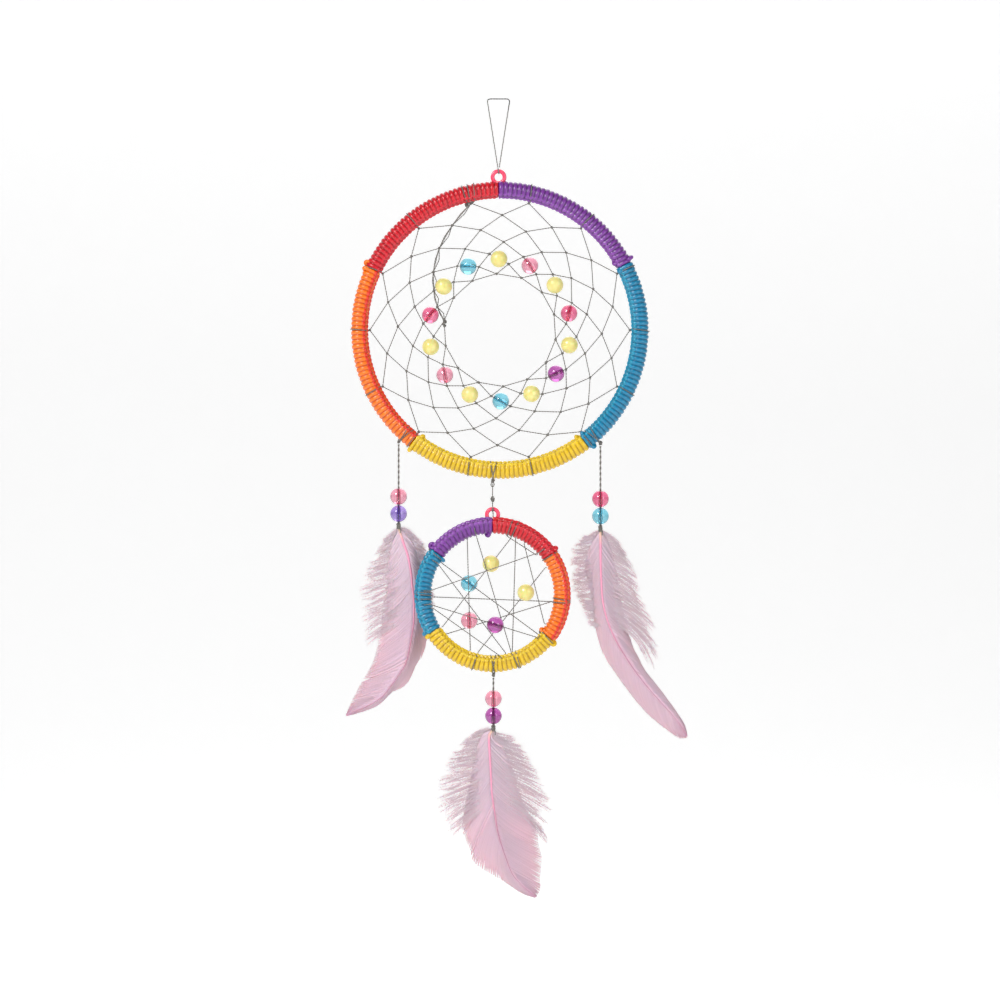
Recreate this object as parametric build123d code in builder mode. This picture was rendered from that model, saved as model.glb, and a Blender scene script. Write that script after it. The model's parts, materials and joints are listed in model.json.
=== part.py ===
from build123d import *
from dataclasses import dataclass
from math import asin, cos, degrees, hypot, pi, radians, sin, sqrt, tan
import os

# Dream catcher: a large and a small hoop wrapped in satin cord, each with a web of thread and
# beads, and three strands that end in feathers. The whole hangs from a loop of thread.
#
# Frame: millimetres and degrees. The origin is the middle of the hanging loop's top span, +Z is
# up, +X is to the right seen from the front, and the front faces -Y. An angle on a hoop is seen
# from the front and runs counter-clockwise from +X.

os.makedirs("parts", exist_ok=True)

# ------------------------------------------------------------------ driving dimensions
# Hoops: a moulded ring, with satin cord wrapped round it
ring_rod = 4.0
satin_cord = 2.0
wrap_clearance = 0.03
wrap_gap = 0.1
large_hoop_radius = 66.0
small_hoop_radius = 32.6

# Eyelets: a small ring on a neck, moulded in one piece with its hoop's ring
eyelet_rod = 1.9
eyelet_neck = 2.2
eyelet_clearance = 0.1
large_eyelet_outer = 7.5
large_eyelet_height = 5.9
large_eyelet_angle = 90.5
small_eyelet_outer = 7.3
small_eyelet_height = 5.0
small_eyelet_angle = 90.0

# Threads and the knots tied in them
web_thread = 0.5
loop_thread = 0.6
strand_thread = 1.0
thread_clearance = 0.1
tie_knot = 2.0
tie_bite = 0.3
link_knot = 1.8
feather_knot = 2.4

# Hanging loop
loop_width = 10.8
loop_drop = 32.2
loop_corner = 1.2

# Beads
bead_diameter = 8.0
bead_bore = 1.6
bead_gap = 0.1

# Large web: a net of fourteen meshes to the row, whose rows turn a little more towards the middle
web_meshes = 14
row_drops = (7.0, 6.2, 6.4, 5.4, 4.8, 4.8)
row_turns = (0.0, 1.2, 2.0, 2.5, 5.0, 7.5, 9.5)
knot_bend = 0.6
arc_share = 0.45
tail_mesh = 4
beaded_row = 4

# Small web: straight chords, each as (start angle, end angle, start depth, end depth), where a
# depth is measured along +Y from the hoop's middle plane
small_chords = (
    (75.6, 42.0, -2.4, 1.2),
    (72.0, 212.5, 1.8, -0.6),
    (42.0, 176.7, -4.2, -4.2),
    (114.5, 248.0, -3.0, 1.8),
    (105.5, 288.0, -4.2, 0.6),
    (67.7, 289.4, 3.0, 1.8),
    (58.5, 331.0, -2.4, -1.2),
    (27.0, 256.0, -0.6, 1.2),
    (148.0, 319.0, 4.2, 4.2),
    (150.0, 282.4, -4.2, -1.2),
    (182.3, 353.4, 1.2, 4.2),
    (353.4, 219.5, 2.4, 4.2),
    (188.5, 316.0, -4.2, -3.0),
    (192.6, 277.5, -3.0, -3.6),
)
# Beads of the small web: (chord number, share of the chord from its start)
small_beads = ((1, 0.294), (3, 0.733), (7, 0.292), (8, 0.303), (12, 0.616))
small_hitch_angles = (34.0, 71.0, 145.0, 180.0, 255.0, 289.0, 322.0, 356.0)

# Link between the hoops; a place across is a share of the hoop's radius from its middle
link_share = -0.0519
link_length = 8.7
bight_slack = 0.1

# Strands: place across as a share of the hoop's radius from its middle, depth of the thread, and
# drop from the tie's knot to the feather's knot
left_strand_share = -0.7216
left_strand_depth = 2.0
left_strand_drop = 39.0
right_strand_share = 0.7163
right_strand_depth = 0.0
right_strand_drop = 39.3
tail_strand_share = 0.0123
tail_strand_depth = 0.0
tail_strand_drop = 24.3

# Feathers: each outline is two edges from the base to the shared tip, and the quill's route runs
# down between them; places are measured from the middle of the feather's knot, in its plane
quill = 1.2
vane_thickness = 1.0
quill_clearance = 0.05
left_feather_tilt = 8.0
left_quill = ((0.0, -1.3), (1.8, -9.0), (4.0, -22.0), (4.8, -37.0), (4.5, -50.0), (2.3, -64.5),
              (-4.0, -76.0), (-14.0, -84.5))
left_vane = (
    ((-1.4, -1.8), (-7.0, -7.5), (-13.4, -22.0), (-14.5, -41.0), (-12.0, -62.0), (-17.5, -74.0),
     (-25.6, -90.9)),
    ((1.4, -1.8), (5.4, -16.0), (6.3, -36.0), (6.1, -56.0), (3.8, -72.0), (-3.5, -79.5),
     (-16.5, -87.4), (-25.6, -90.9)),
)
right_feather_tilt = 4.0
right_quill = ((0.0, -1.3), (0.3, -20.0), (1.7, -37.0), (6.4, -51.4), (14.8, -65.5),
               (24.2, -77.7), (34.0, -89.0))
right_vane = (
    ((-1.4, -1.8), (-6.3, -10.0), (-7.8, -19.0), (-5.0, -35.0), (-1.0, -51.5), (6.8, -68.8),
     (24.0, -90.2), (39.5, -100.0)),
    ((1.4, -1.8), (13.0, -16.3), (18.5, -37.0), (21.5, -56.0), (23.5, -70.0), (31.6, -82.5),
     (38.6, -92.0), (39.5, -100.0)),
)
tail_feather_tilt = 3.0
tail_quill = ((0.0, -1.3), (-1.9, -6.0), (-1.5, -15.0), (-0.7, -31.6), (1.0, -44.0), (4.2, -58.0),
              (9.0, -68.5), (14.0, -75.5))
tail_vane = (
    ((-1.4, -1.8), (-14.4, -7.5), (-21.5, -20.7), (-23.5, -31.7), (-18.5, -47.0),
     (-10.6, -62.0), (1.0, -71.3), (11.0, -77.5), (20.0, -80.5)),
    ((1.4, -1.8), (13.1, -11.3), (20.0, -24.0), (22.8, -36.0), (21.2, -50.0), (23.0, -63.0),
     (22.2, -75.0), (20.0, -80.5)),
)

# ------------------------------------------------------------------ worked-out dimensions
wrap_bore_radius = ring_rod / 2 + wrap_clearance
wrap_radius = ring_rod / 2 + satin_cord
hitch_radius = wrap_radius + wrap_clearance + web_thread / 2
tie_hitch_radius = wrap_radius + wrap_clearance + loop_thread / 2
tie_reach = tie_hitch_radius + loop_thread / 2 + tie_knot / 2 - tie_bite
rim_turn_radius = eyelet_rod / 2 + thread_clearance + loop_thread / 2


@dataclass
class Hoop:
    """A hoop's middle, the centre-line radius of its ring, and its eyelet."""

    centre: Vector
    radius: float
    eyelet_angle: float
    eyelet_height: float
    eyelet_outer: float

    def at(self, radius, angle, depth=0.0):
        """The point at a distance from the middle, at an angle, and at a depth along +Y."""
        return self.centre + Vector(radius * cos(radians(angle)), depth, radius * sin(radians(angle)))

    @property
    def eyelet(self):
        """The middle of the eyelet."""
        return self.at(self.radius + self.eyelet_height, self.eyelet_angle)

    @property
    def rim_reach(self):
        """The centre-line radius of the eyelet's own ring."""
        return (self.eyelet_outer - eyelet_rod) / 2

    @property
    def rim_top(self):
        """The middle of the eyelet's rod at its highest point."""
        return self.eyelet + Vector(0, 0, self.rim_reach)

    @property
    def plane(self):
        """The hoop's middle plane, facing the front."""
        return Plane(origin=self.centre, x_dir=(1, 0, 0), z_dir=(0, -1, 0))

    def section(self, angle):
        """The plane across the ring at an angle, with x outwards and y towards the front or back."""
        tangent = (-sin(radians(angle)), 0, cos(radians(angle)))
        outwards = (cos(radians(angle)), 0, sin(radians(angle)))
        return Plane(origin=self.at(self.radius, angle), x_dir=outwards, z_dir=tangent)


def hoop_under(top_of_rim, radius, angle, height, outer):
    """The hoop whose eyelet hangs with its rod's highest point at a given place."""
    eyelet = top_of_rim - Vector(0, 0, (outer - eyelet_rod) / 2)
    reach = radius + height
    centre = eyelet - Vector(reach * cos(radians(angle)), 0, reach * sin(radians(angle)))
    return Hoop(centre, radius, angle, height, outer)


def under_hoop(hoop, share, depth=0.0):
    """The middle of a knot tied close under a hoop's wraps, at a place across and a depth."""
    reach = hoop.radius + sqrt(tie_reach**2 - depth**2)
    across = share * hoop.radius
    return hoop.centre + Vector(across, depth, -sqrt(reach**2 - across**2))


loop_foot = Vector(0, 0, -loop_drop)
large_rim_top = loop_foot - Vector(0, 0, thread_clearance + loop_thread / 2 + rim_turn_radius)
large_hoop = hoop_under(
    large_rim_top, large_hoop_radius, large_eyelet_angle, large_eyelet_height, large_eyelet_outer
)
link_top = under_hoop(large_hoop, link_share)
link_foot = link_top - Vector(0, 0, link_length)
bight_top = link_foot - Vector(0, 0, link_knot / 2 + thread_clearance + loop_thread / 2)
small_rim_top = bight_top - Vector(0, 0, 2 * rim_turn_radius + bight_slack)
small_hoop = hoop_under(
    small_rim_top, small_hoop_radius, small_eyelet_angle, small_eyelet_height, small_eyelet_outer
)


# ------------------------------------------------------------------ shared operations
def save(builder, name):
    """Label a finished piece and write it."""
    builder.part.label = name
    export_step(builder.part, f"parts/{name}.step")


def add_rod(start, end, diameter):
    """Add a straight round rod between two points to the open part."""
    along = end - start
    with BuildSketch(Plane(origin=start, z_dir=along)) as section:
        Circle(diameter / 2)
    extrude(section.sketch, amount=along.length)


def add_thread(points, bends, diameter, closed=False):
    """Add a round thread along straight runs that tangent arcs join, and return its length."""
    with BuildLine():
        route = FilletPolyline(*points, radius=bends, close=closed)
    with BuildSketch(Plane(origin=route @ 0, z_dir=route % 0)) as section:
        Circle(diameter / 2)
    sweep(section.sketch, path=route)
    return route.length


def wide_bends(points):
    """For each inner point of a route, the radius of the arc that takes arc_share of its shorter run."""
    bends = []
    for before, here, after in zip(points, points[1:], points[2:]):
        turn = (here - before).get_angle(after - here)
        run = min((here - before).length, (after - here).length)
        bends.append(arc_share * run / tan(radians(turn / 2)))
    return bends


def compare_volume(name, part, length, diameter):
    """Print a thread's volume beside its section times its length."""
    expected = pi * diameter**2 / 4 * length
    print(f"{name}: length {length:.2f}, volume {part.volume:.3f}, section x length {expected:.3f}")


# ------------------------------------------------------------------ hoops
def make_ring(name, hoop):
    """The moulded ring with its eyelet and the neck between them."""
    with BuildPart() as ring:
        with BuildSketch(hoop.section(0)):
            Circle(ring_rod / 2)
        revolve(axis=Axis(hoop.centre, (0, 1, 0)))
        neck_foot = hoop.at(hoop.radius, hoop.eyelet_angle)
        neck_top = hoop.at(hoop.radius + hoop.eyelet_height - hoop.rim_reach, hoop.eyelet_angle)
        add_rod(neck_foot, neck_top, eyelet_neck)
        with Locations(Plane(origin=hoop.eyelet, x_dir=(1, 0, 0), z_dir=(0, -1, 0))):
            Torus(hoop.rim_reach, eyelet_rod / 2)
    save(ring, name)


def make_wrap(name, hoop, start, end):
    """One colour's wrap: a sleeve on the ring, cut away where the eyelet stands."""
    gap_angle = degrees(wrap_gap / 2 / hoop.radius)
    with BuildPart() as wrap:
        with BuildSketch(hoop.section(start + gap_angle)):
            Circle(wrap_radius)
            Circle(wrap_bore_radius, mode=Mode.SUBTRACT)
        revolve(axis=Axis(hoop.centre, (0, -1, 0)), revolution_arc=end - start - 2 * gap_angle)
        with Locations(Plane(origin=hoop.eyelet, x_dir=(1, 0, 0), z_dir=(0, -1, 0))):
            Cylinder(
                hoop.eyelet_outer / 2 + eyelet_clearance,
                eyelet_rod + 2 * eyelet_clearance,
                mode=Mode.SUBTRACT,
            )
        neck_half = eyelet_neck / 2 + eyelet_clearance
        neck_plane = hoop.section(hoop.eyelet_angle)
        with BuildSketch(Plane(origin=neck_plane.origin, z_dir=neck_plane.x_dir)):
            Circle(neck_half)
        extrude(amount=hoop.eyelet_height, mode=Mode.SUBTRACT)
    save(wrap, name)


large_wraps = (
    ("purple", 27.6, large_eyelet_angle),
    ("red", large_eyelet_angle, 154.5),
    ("orange", 154.5, 232.0),
    ("yellow", 232.0, 307.1),
    ("blue", 307.1, 387.6),
)
small_wraps = (
    ("purple", small_eyelet_angle, 143.0),
    ("blue", 143.0, 211.5),
    ("yellow", 211.5, 322.9),
    ("orange", 322.9, 394.5),
    ("red", 394.5, small_eyelet_angle + 360.0),
)

make_ring("large_ring", large_hoop)
for colour, start, end in large_wraps:
    make_wrap(f"large_wrap_{colour}", large_hoop, start, end)
make_ring("small_ring", small_hoop)
for colour, start, end in small_wraps:
    make_wrap(f"small_wrap_{colour}", small_hoop, start, end)


# ------------------------------------------------------------------ large web
first_row = large_hoop_radius - hitch_radius - web_thread - thread_clearance
row_depth = web_thread / 2 + thread_clearance / 2


def row_radius(row):
    """The distance of a row's knots from the hoop's middle."""
    return first_row - sum(row_drops[:row])


def web_knot(row, mesh, depth=0.0):
    """A knot of the large web."""
    angle = 360 / web_meshes * (mesh + row / 2) - row_turns[row]
    return large_hoop.at(row_radius(row), angle, depth)


def round_depth(row):
    """The depth of one round of thread: neighbouring rounds cross face to face at their knots."""
    return row_depth if row % 2 else -row_depth


def web_round(row):
    """The closed zigzag of one round, from the knots of its row to those of the next."""
    depth = round_depth(row)
    points = []
    for mesh in range(web_meshes):
        points.append(web_knot(row, mesh, depth))
        points.append(web_knot(row + 1, mesh, depth))
    return points


rounds = len(row_drops)
tail_depth = 3 * row_depth
with BuildPart() as large_web:
    for row in range(rounds):
        add_thread(web_round(row), knot_bend, web_thread, closed=True)
    last_round = [web_knot(rounds, mesh, round_depth(rounds)) for mesh in range(web_meshes)]
    add_thread(last_round, knot_bend, web_thread, closed=True)
    tail = [web_knot(row, tail_mesh, tail_depth) for row in range(rounds + 1)]
    add_thread(tail, wide_bends(tail), web_thread)
save(large_web, "large_web")

with BuildPart() as large_web_hitches:
    with Locations(large_hoop.plane):
        with PolarLocations(large_hoop.radius, web_meshes):
            Torus(hitch_radius, web_thread / 2, rotation=(90, 0, 0))
save(large_web_hitches, "large_web_hitches")


# ------------------------------------------------------------------ beads
def make_bead(name, centre, along):
    """A round bead on a thread, its bore along the thread."""
    with BuildPart(Plane(origin=centre, z_dir=along)) as bead:
        Sphere(bead_diameter / 2)
        Cylinder(bead_bore / 2, bead_diameter, mode=Mode.SUBTRACT)
    save(bead, name)


for mesh in range(web_meshes):
    outer = web_knot(beaded_row, mesh + 1, round_depth(beaded_row))
    inner = web_knot(beaded_row + 1, mesh, round_depth(beaded_row))
    make_bead(f"web_bead_{mesh + 1:02d}", (outer + inner) / 2, inner - outer)


# ------------------------------------------------------------------ small web
def chord_end(angle, depth):
    """Where a chord of the small web meets its turn of thread on the wraps."""
    reach = hitch_radius + web_thread / 2 + 2 * thread_clearance
    return small_hoop.at(small_hoop.radius - sqrt(reach**2 - depth**2), angle, depth)


chords = [(chord_end(start, near), chord_end(end, far)) for start, end, near, far in small_chords]
with BuildPart() as small_web:
    for start, end in chords:
        add_rod(start, end, web_thread)
save(small_web, "small_web")

with BuildPart() as small_web_hitches:
    with Locations(small_hoop.plane):
        for angle in small_hitch_angles:
            with PolarLocations(small_hoop.radius, 1, start_angle=angle):
                Torus(hitch_radius, web_thread / 2, rotation=(90, 0, 0))
save(small_web_hitches, "small_web_hitches")

for number, (chord, share) in enumerate(small_beads, start=1):
    start, end = chords[chord]
    make_bead(f"small_web_bead_{number}", start + (end - start) * share, end - start)


# ------------------------------------------------------------------ hanging loop and link
foot_x = (loop_thread + thread_clearance) / 2
loop_points = [
    Vector(-foot_x, 0, -loop_drop),
    Vector(-loop_width / 2, 0, 0),
    Vector(loop_width / 2, 0, 0),
    Vector(foot_x, 0, -loop_drop),
]
with BuildPart() as hanging_loop:
    loop_length = add_thread(loop_points, loop_corner, loop_thread)
compare_volume("hanging_loop", hanging_loop.part, loop_length, loop_thread)
print(f"hanging_loop: corner radii {loop_corner}, {loop_corner}")
save(hanging_loop, "hanging_loop")

with BuildPart(Plane(origin=large_hoop.rim_top, z_dir=(1, 0, 0))) as loop_hitch:
    Torus(rim_turn_radius, loop_thread / 2)
save(loop_hitch, "loop_hitch")

with BuildPart() as link_thread:
    link_end_gap = Vector(0, 0, tie_knot / 2 + thread_clearance)
    knot_gap = Vector(0, 0, link_knot / 2 + thread_clearance)
    add_rod(link_top - link_end_gap, link_foot + knot_gap, loop_thread)
save(link_thread, "link_thread")

with BuildPart(Plane(origin=link_foot)) as lower_link_knot:
    Sphere(link_knot / 2)
save(lower_link_knot, "link_knot")

bight_bottom = small_hoop.rim_top - Vector(0, 0, rim_turn_radius)
half_bight = Vector(0, rim_turn_radius, 0)
bight_corners = [
    bight_top - half_bight,
    bight_top + half_bight,
    bight_bottom + half_bight,
    bight_bottom - half_bight,
]
with BuildPart() as link_bight:
    add_thread(bight_corners, rim_turn_radius - bight_slack / 2, loop_thread, closed=True)
save(link_bight, "link_bight")


# ------------------------------------------------------------------ ties on the hoops
def add_tie(hoop, knot):
    """Add a turn of thread round the wraps and the knot that closes it under the hoop."""
    across = knot.X - hoop.centre.X
    angle = 180 + degrees(asin((hoop.centre.Z - knot.Z) / hypot(across, hoop.centre.Z - knot.Z)))
    if across > 0:
        angle = 540 - angle
    with Locations(hoop.section(angle)):
        # half a turn puts the torus's seam on the far side of the cord from the knot
        Torus(tie_hitch_radius, loop_thread / 2, rotation=(0, 0, 180))
    with Locations(Location(knot)):
        Sphere(tie_knot / 2)


left_pivot = under_hoop(large_hoop, left_strand_share, left_strand_depth)
right_pivot = under_hoop(large_hoop, right_strand_share, right_strand_depth)
tail_pivot = under_hoop(small_hoop, tail_strand_share, tail_strand_depth)

with BuildPart() as large_ties:
    for knot in (left_pivot, link_top, right_pivot):
        add_tie(large_hoop, knot)
save(large_ties, "large_ties")

with BuildPart() as tail_tie:
    add_tie(small_hoop, tail_pivot)
save(tail_tie, "tail_tie")


# ------------------------------------------------------------------ strands and feathers
def make_strand(side, pivot, drop):
    """A strand's thread, its two beads and the knot that holds them, and return the knot's middle."""
    knot = pivot - Vector(0, 0, drop)
    with BuildPart() as thread:
        top = pivot - Vector(0, 0, tie_knot / 2 + thread_clearance)
        foot = knot + Vector(0, 0, feather_knot / 2 + thread_clearance / 2)
        add_rod(top, foot, strand_thread)
    compare_volume(f"{side}_thread", thread.part, (top - foot).length, strand_thread)
    save(thread, f"{side}_thread")
    lower = knot + Vector(0, 0, feather_knot / 2 + bead_gap + bead_diameter / 2)
    upper = lower + Vector(0, 0, bead_diameter + bead_gap)
    make_bead(f"{side}_lower_bead", lower, Vector(0, 0, 1))
    make_bead(f"{side}_upper_bead", upper, Vector(0, 0, 1))
    with BuildPart(Plane(origin=knot)) as knot_piece:
        Sphere(feather_knot / 2)
    save(knot_piece, f"{side}_knot")
    return knot


def make_feather(side, knot, tilt, quill_route, edges):
    """A feather's quill, and its vane as a flat leaf with a slot that the quill lies in."""
    back = radians(tilt)
    plane = Plane(origin=knot, x_dir=(1, 0, 0), z_dir=(0, -cos(back), -sin(back)))
    route = [plane.from_local_coords(Vector(x, z, 0)) for x, z in quill_route]
    bends = wide_bends(route)
    with BuildPart() as quill_piece:
        add_thread(route, bends, quill)
    save(quill_piece, f"{side}_quill")
    left_edge, right_edge = edges
    with BuildPart() as vane:
        with BuildSketch(plane):
            with BuildLine():
                Spline(*left_edge)
                Spline(*right_edge)
                Line(left_edge[0], right_edge[0])
            make_face()
            with BuildLine() as slot:
                first, second = Vector(*quill_route[0]), Vector(*quill_route[1])
                above = first + (first - second).normalized() * feather_knot
                FilletPolyline(above, *quill_route[1:], radius=bends)
            trace(slot.line, line_width=quill + 2 * quill_clearance, mode=Mode.SUBTRACT)
        extrude(amount=vane_thickness / 2, both=True)
    save(vane, f"{side}_vane")


left_knot = make_strand("left", left_pivot, left_strand_drop)
make_feather("left", left_knot, left_feather_tilt, left_quill, left_vane)
right_knot = make_strand("right", right_pivot, right_strand_drop)
make_feather("right", right_knot, right_feather_tilt, right_quill, right_vane)
tail_knot = make_strand("tail", tail_pivot, tail_strand_drop)
make_feather("tail", tail_knot, tail_feather_tilt, tail_quill, tail_vane)
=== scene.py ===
"""Dream catcher: the looks of two wrapped hoops, their webs and beads, and three feather strands.

Sizes are in millimetres until a mesh is written; angles on a hoop are seen from the front and run
counter-clockwise from +X. The front faces -Y.
"""

from abc import ABC, abstractmethod
from dataclasses import dataclass, field
from enum import Enum
from typing import Iterable, Sequence
import json
import logging
import math

import bpy
import numpy as np
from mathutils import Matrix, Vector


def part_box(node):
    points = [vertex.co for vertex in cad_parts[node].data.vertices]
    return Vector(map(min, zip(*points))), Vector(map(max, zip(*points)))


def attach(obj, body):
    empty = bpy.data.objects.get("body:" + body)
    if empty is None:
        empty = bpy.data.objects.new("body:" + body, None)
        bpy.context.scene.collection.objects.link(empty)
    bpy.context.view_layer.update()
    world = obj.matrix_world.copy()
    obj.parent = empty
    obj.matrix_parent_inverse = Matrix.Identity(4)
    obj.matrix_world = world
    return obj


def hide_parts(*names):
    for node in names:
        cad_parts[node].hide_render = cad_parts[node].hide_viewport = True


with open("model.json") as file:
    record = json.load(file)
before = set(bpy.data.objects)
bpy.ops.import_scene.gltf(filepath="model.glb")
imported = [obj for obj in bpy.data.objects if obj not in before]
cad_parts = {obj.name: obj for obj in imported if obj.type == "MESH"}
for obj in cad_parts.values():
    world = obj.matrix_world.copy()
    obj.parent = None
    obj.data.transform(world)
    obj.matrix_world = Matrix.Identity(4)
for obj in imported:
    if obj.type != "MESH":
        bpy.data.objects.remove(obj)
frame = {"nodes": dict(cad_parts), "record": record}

MM = 0.001
FRONT = np.array([0.0, -1.0, 0.0])
UP = np.array([0.0, 0.0, 1.0])
ACROSS = np.array([1.0, 0.0, 0.0])
WHITE = (1.0, 1.0, 1.0)
# Points along a feather's quill and along each of its edges.
STATIONS = 400
Array = np.ndarray
Colour = tuple[float, float, float]
Point = tuple[float, float]

log = logging.getLogger("dream_catcher")


class Side(Enum):
    """The three strands, by the place where they hang."""

    LEFT = "left"
    RIGHT = "right"
    TAIL = "tail"


class Edge(Enum):
    """The two sides of a feather's quill, as a sign along its plane's x."""

    LEFT = -1.0
    RIGHT = 1.0


# ------------------------------------------------------------------ surfaces
@dataclass
class Surface:
    """A mesh in the making: points, four-sided and three-sided faces, and values on its points.

    Attributes:
        points: Places in millimetres, one row each.
        quads: Four point numbers to a face.
        quad_uv: A place on the map for each corner of each quad.
        fans: Three point numbers to a face, at the poles.
        fan_uv: A place on the map for each corner of each fan.
        values: Named numbers, one to a point.
    """

    points: Array
    quads: Array
    quad_uv: Array
    fans: Array
    fan_uv: Array
    values: dict[str, Array] = field(default_factory=dict)

    @classmethod
    def tube(cls, rings: Array, looped: bool = False, reach: float = 1.0,
             values: dict[str, Array] | None = None) -> "Surface":
        """Skin a batch of tubes.

        Neighbouring points of neighbouring rings make a quad, with the ring's own points running
        round a closed section. An open tube gets a pole at each end, in the middle of the last
        ring, and a fan of triangles to it. On the map, u runs once round the section and v runs
        from 0 to the tube's reach.

        Args:
            rings: Points of shape (tubes, rings, section, 3).
            looped: Whether the last ring joins the first.
            reach: How far v runs along each tube.
            values: Named numbers of shape (tubes, rings, section).

        Returns:
            The skinned surface.
        """
        tubes, count, section, _ = rings.shape
        number = np.arange(tubes * count * section).reshape(tubes, count, section)
        rows = np.arange(count if looped else count - 1)
        here, ahead = number[:, rows], number[:, (rows + 1) % count]
        quads = np.stack([here, np.roll(here, -1, 2), np.roll(ahead, -1, 2), ahead], -1)
        span = count if looped else count - 1
        low, high = rows / span, (rows + 1) / span
        left, right = np.arange(section) / section, (np.arange(section) + 1) / section
        corner_u = np.stack([left, right, right, left], -1)[None, :, :]
        corner_v = np.stack([low, low, high, high], -1)[:, None, :]
        quad_uv = np.stack(np.broadcast_arrays(corner_u, corner_v * reach), -1)
        quad_uv = np.repeat(quad_uv[None], tubes, 0)
        points = rings.reshape(-1, 3)
        held = {key: np.broadcast_to(value, rings.shape[:3]).reshape(-1)
                for key, value in (values or {}).items()}
        fans, fan_uv = np.zeros((0, 3), int), np.zeros((0, 3, 2))
        if not looped:
            base = len(points)
            poles = np.stack([rings[:, 0].mean(1), rings[:, -1].mean(1)], 1).reshape(-1, 3)
            first = np.repeat(base + 2 * np.arange(tubes)[:, None], section, 1)
            start, end = number[:, 0], number[:, -1]
            start_fan = np.stack([first, np.roll(start, -1, 1), start], -1)
            end_fan = np.stack([first + 1, end, np.roll(end, -1, 1)], -1)
            fans = np.concatenate([start_fan.reshape(-1, 3), end_fan.reshape(-1, 3)])
            fan_uv = np.zeros((len(fans), 3, 2))
            fan_uv[len(fans) // 2:, :, 1] = reach
            points = np.concatenate([points, poles])
            for key, value in held.items():
                shaped = value.reshape(tubes, count, section)
                ends = np.stack([shaped[:, 0].mean(1), shaped[:, -1].mean(1)], 1)
                held[key] = np.concatenate([value, ends.reshape(-1)])
        return cls(points, quads.reshape(-1, 4), quad_uv.reshape(-1, 4, 2), fans, fan_uv, held)

    @classmethod
    def joined(cls, parts: list["Surface"]) -> "Surface":
        """Put surfaces side by side in one mesh, each part's numbers moved past those before it.

        Args:
            parts: The surfaces; a named value that a part lacks is 0 there.

        Returns:
            One surface with all their points and faces.
        """
        offsets = np.cumsum([0] + [len(p.points) for p in parts[:-1]])
        names = {name for p in parts for name in p.values}
        return cls(
            np.concatenate([p.points for p in parts]),
            np.concatenate([p.quads + o for p, o in zip(parts, offsets)]),
            np.concatenate([p.quad_uv for p in parts]),
            np.concatenate([p.fans + o for p, o in zip(parts, offsets)]),
            np.concatenate([p.fan_uv for p in parts]),
            {n: np.concatenate([p.values.get(n, np.zeros(len(p.points))) for p in parts])
             for n in names},
        )

    def write(self, name: str) -> bpy.types.Object:
        """Make the Blender object, at the origin, with its place in its mesh.

        Args:
            name: The piece's name.

        Returns:
            The object, linked to the scene.
        """
        mesh = bpy.data.meshes.new(name)
        corners = np.concatenate([self.quads.reshape(-1), self.fans.reshape(-1)])
        sizes = np.concatenate([np.full(len(self.quads), 4), np.full(len(self.fans), 3)])
        mesh.vertices.add(len(self.points))
        mesh.vertices.foreach_set("co", (self.points * MM).astype(np.float32).reshape(-1))
        mesh.loops.add(len(corners))
        mesh.loops.foreach_set("vertex_index", corners.astype(np.int32))
        mesh.polygons.add(len(sizes))
        starts = np.concatenate([[0], np.cumsum(sizes)[:-1]])
        mesh.polygons.foreach_set("loop_start", starts.astype(np.int32))
        mesh.polygons.foreach_set("use_smooth", np.ones(len(sizes), bool))
        chart = mesh.uv_layers.new(name="surface")
        places = np.concatenate([self.quad_uv.reshape(-1, 2), self.fan_uv.reshape(-1, 2)])
        chart.uv.foreach_set("vector", places.astype(np.float32).reshape(-1))
        for key, value in self.values.items():
            held = mesh.attributes.new(key, "FLOAT", "POINT")
            held.data.foreach_set("value", value.astype(np.float32))
        mesh.update()
        mesh.validate()
        piece = bpy.data.objects.new(name, mesh)
        bpy.context.scene.collection.objects.link(piece)
        return piece


def unit(vectors: Array) -> Array:
    """Each vector divided by its own length."""
    return vectors / np.maximum(np.linalg.norm(vectors, axis=-1, keepdims=True), 1e-12)


def frames(path: Array, guide: Array, looped: bool = False) -> tuple[Array, Array]:
    """Work out the directions of the section at each point of a batch of paths.

    The tangent is the difference of a point's two neighbours. The section's first direction is
    the guide crossed with the tangent, and its second is the tangent crossed with the first, so
    it lies as near the guide as it can.

    Args:
        path: Points of shape (paths, count, 3).
        guide: A direction, or one for each path, that no tangent lies along.
        looped: Whether the last point joins the first.

    Returns:
        The first and the second direction, each of the path's shape.
    """
    if looped:
        tangent = np.roll(path, -1, 1) - np.roll(path, 1, 1)
    else:
        tangent = np.gradient(path, axis=1)
    tangent = unit(tangent)
    first = unit(np.cross(np.broadcast_to(guide, path.shape), tangent))
    return first, np.cross(tangent, first)


def carried(path: Array, profile: Array, guide: Array, turn: Array | float = 0.0,
            size: Array | float = 1.0, looped: bool = False) -> Array:
    """Carry a section along a batch of paths.

    Each point of the section is its first number along the section's first direction plus its
    second along the second, after the section is turned and scaled at each point of the path.

    Args:
        path: Points of shape (paths, count, 3).
        profile: The section, of shape (section, 2).
        guide: The guide of `frames`.
        turn: The section's turn in radians, of shape (paths, count).
        size: The section's scale, of shape (paths, count).
        looped: Whether the last point joins the first.

    Returns:
        Rings of shape (paths, count, section, 3).
    """
    first, second = frames(path, guide, looped)
    shape = path.shape[:2]
    angle = np.broadcast_to(np.asarray(turn, float), shape)[..., None]
    scale = np.broadcast_to(np.asarray(size, float), shape)[..., None]
    x = (profile[:, 0] * np.cos(angle) - profile[:, 1] * np.sin(angle)) * scale
    y = (profile[:, 0] * np.sin(angle) + profile[:, 1] * np.cos(angle)) * scale
    return path[:, :, None] + first[:, :, None] * x[..., None] + second[:, :, None] * y[..., None]


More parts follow.
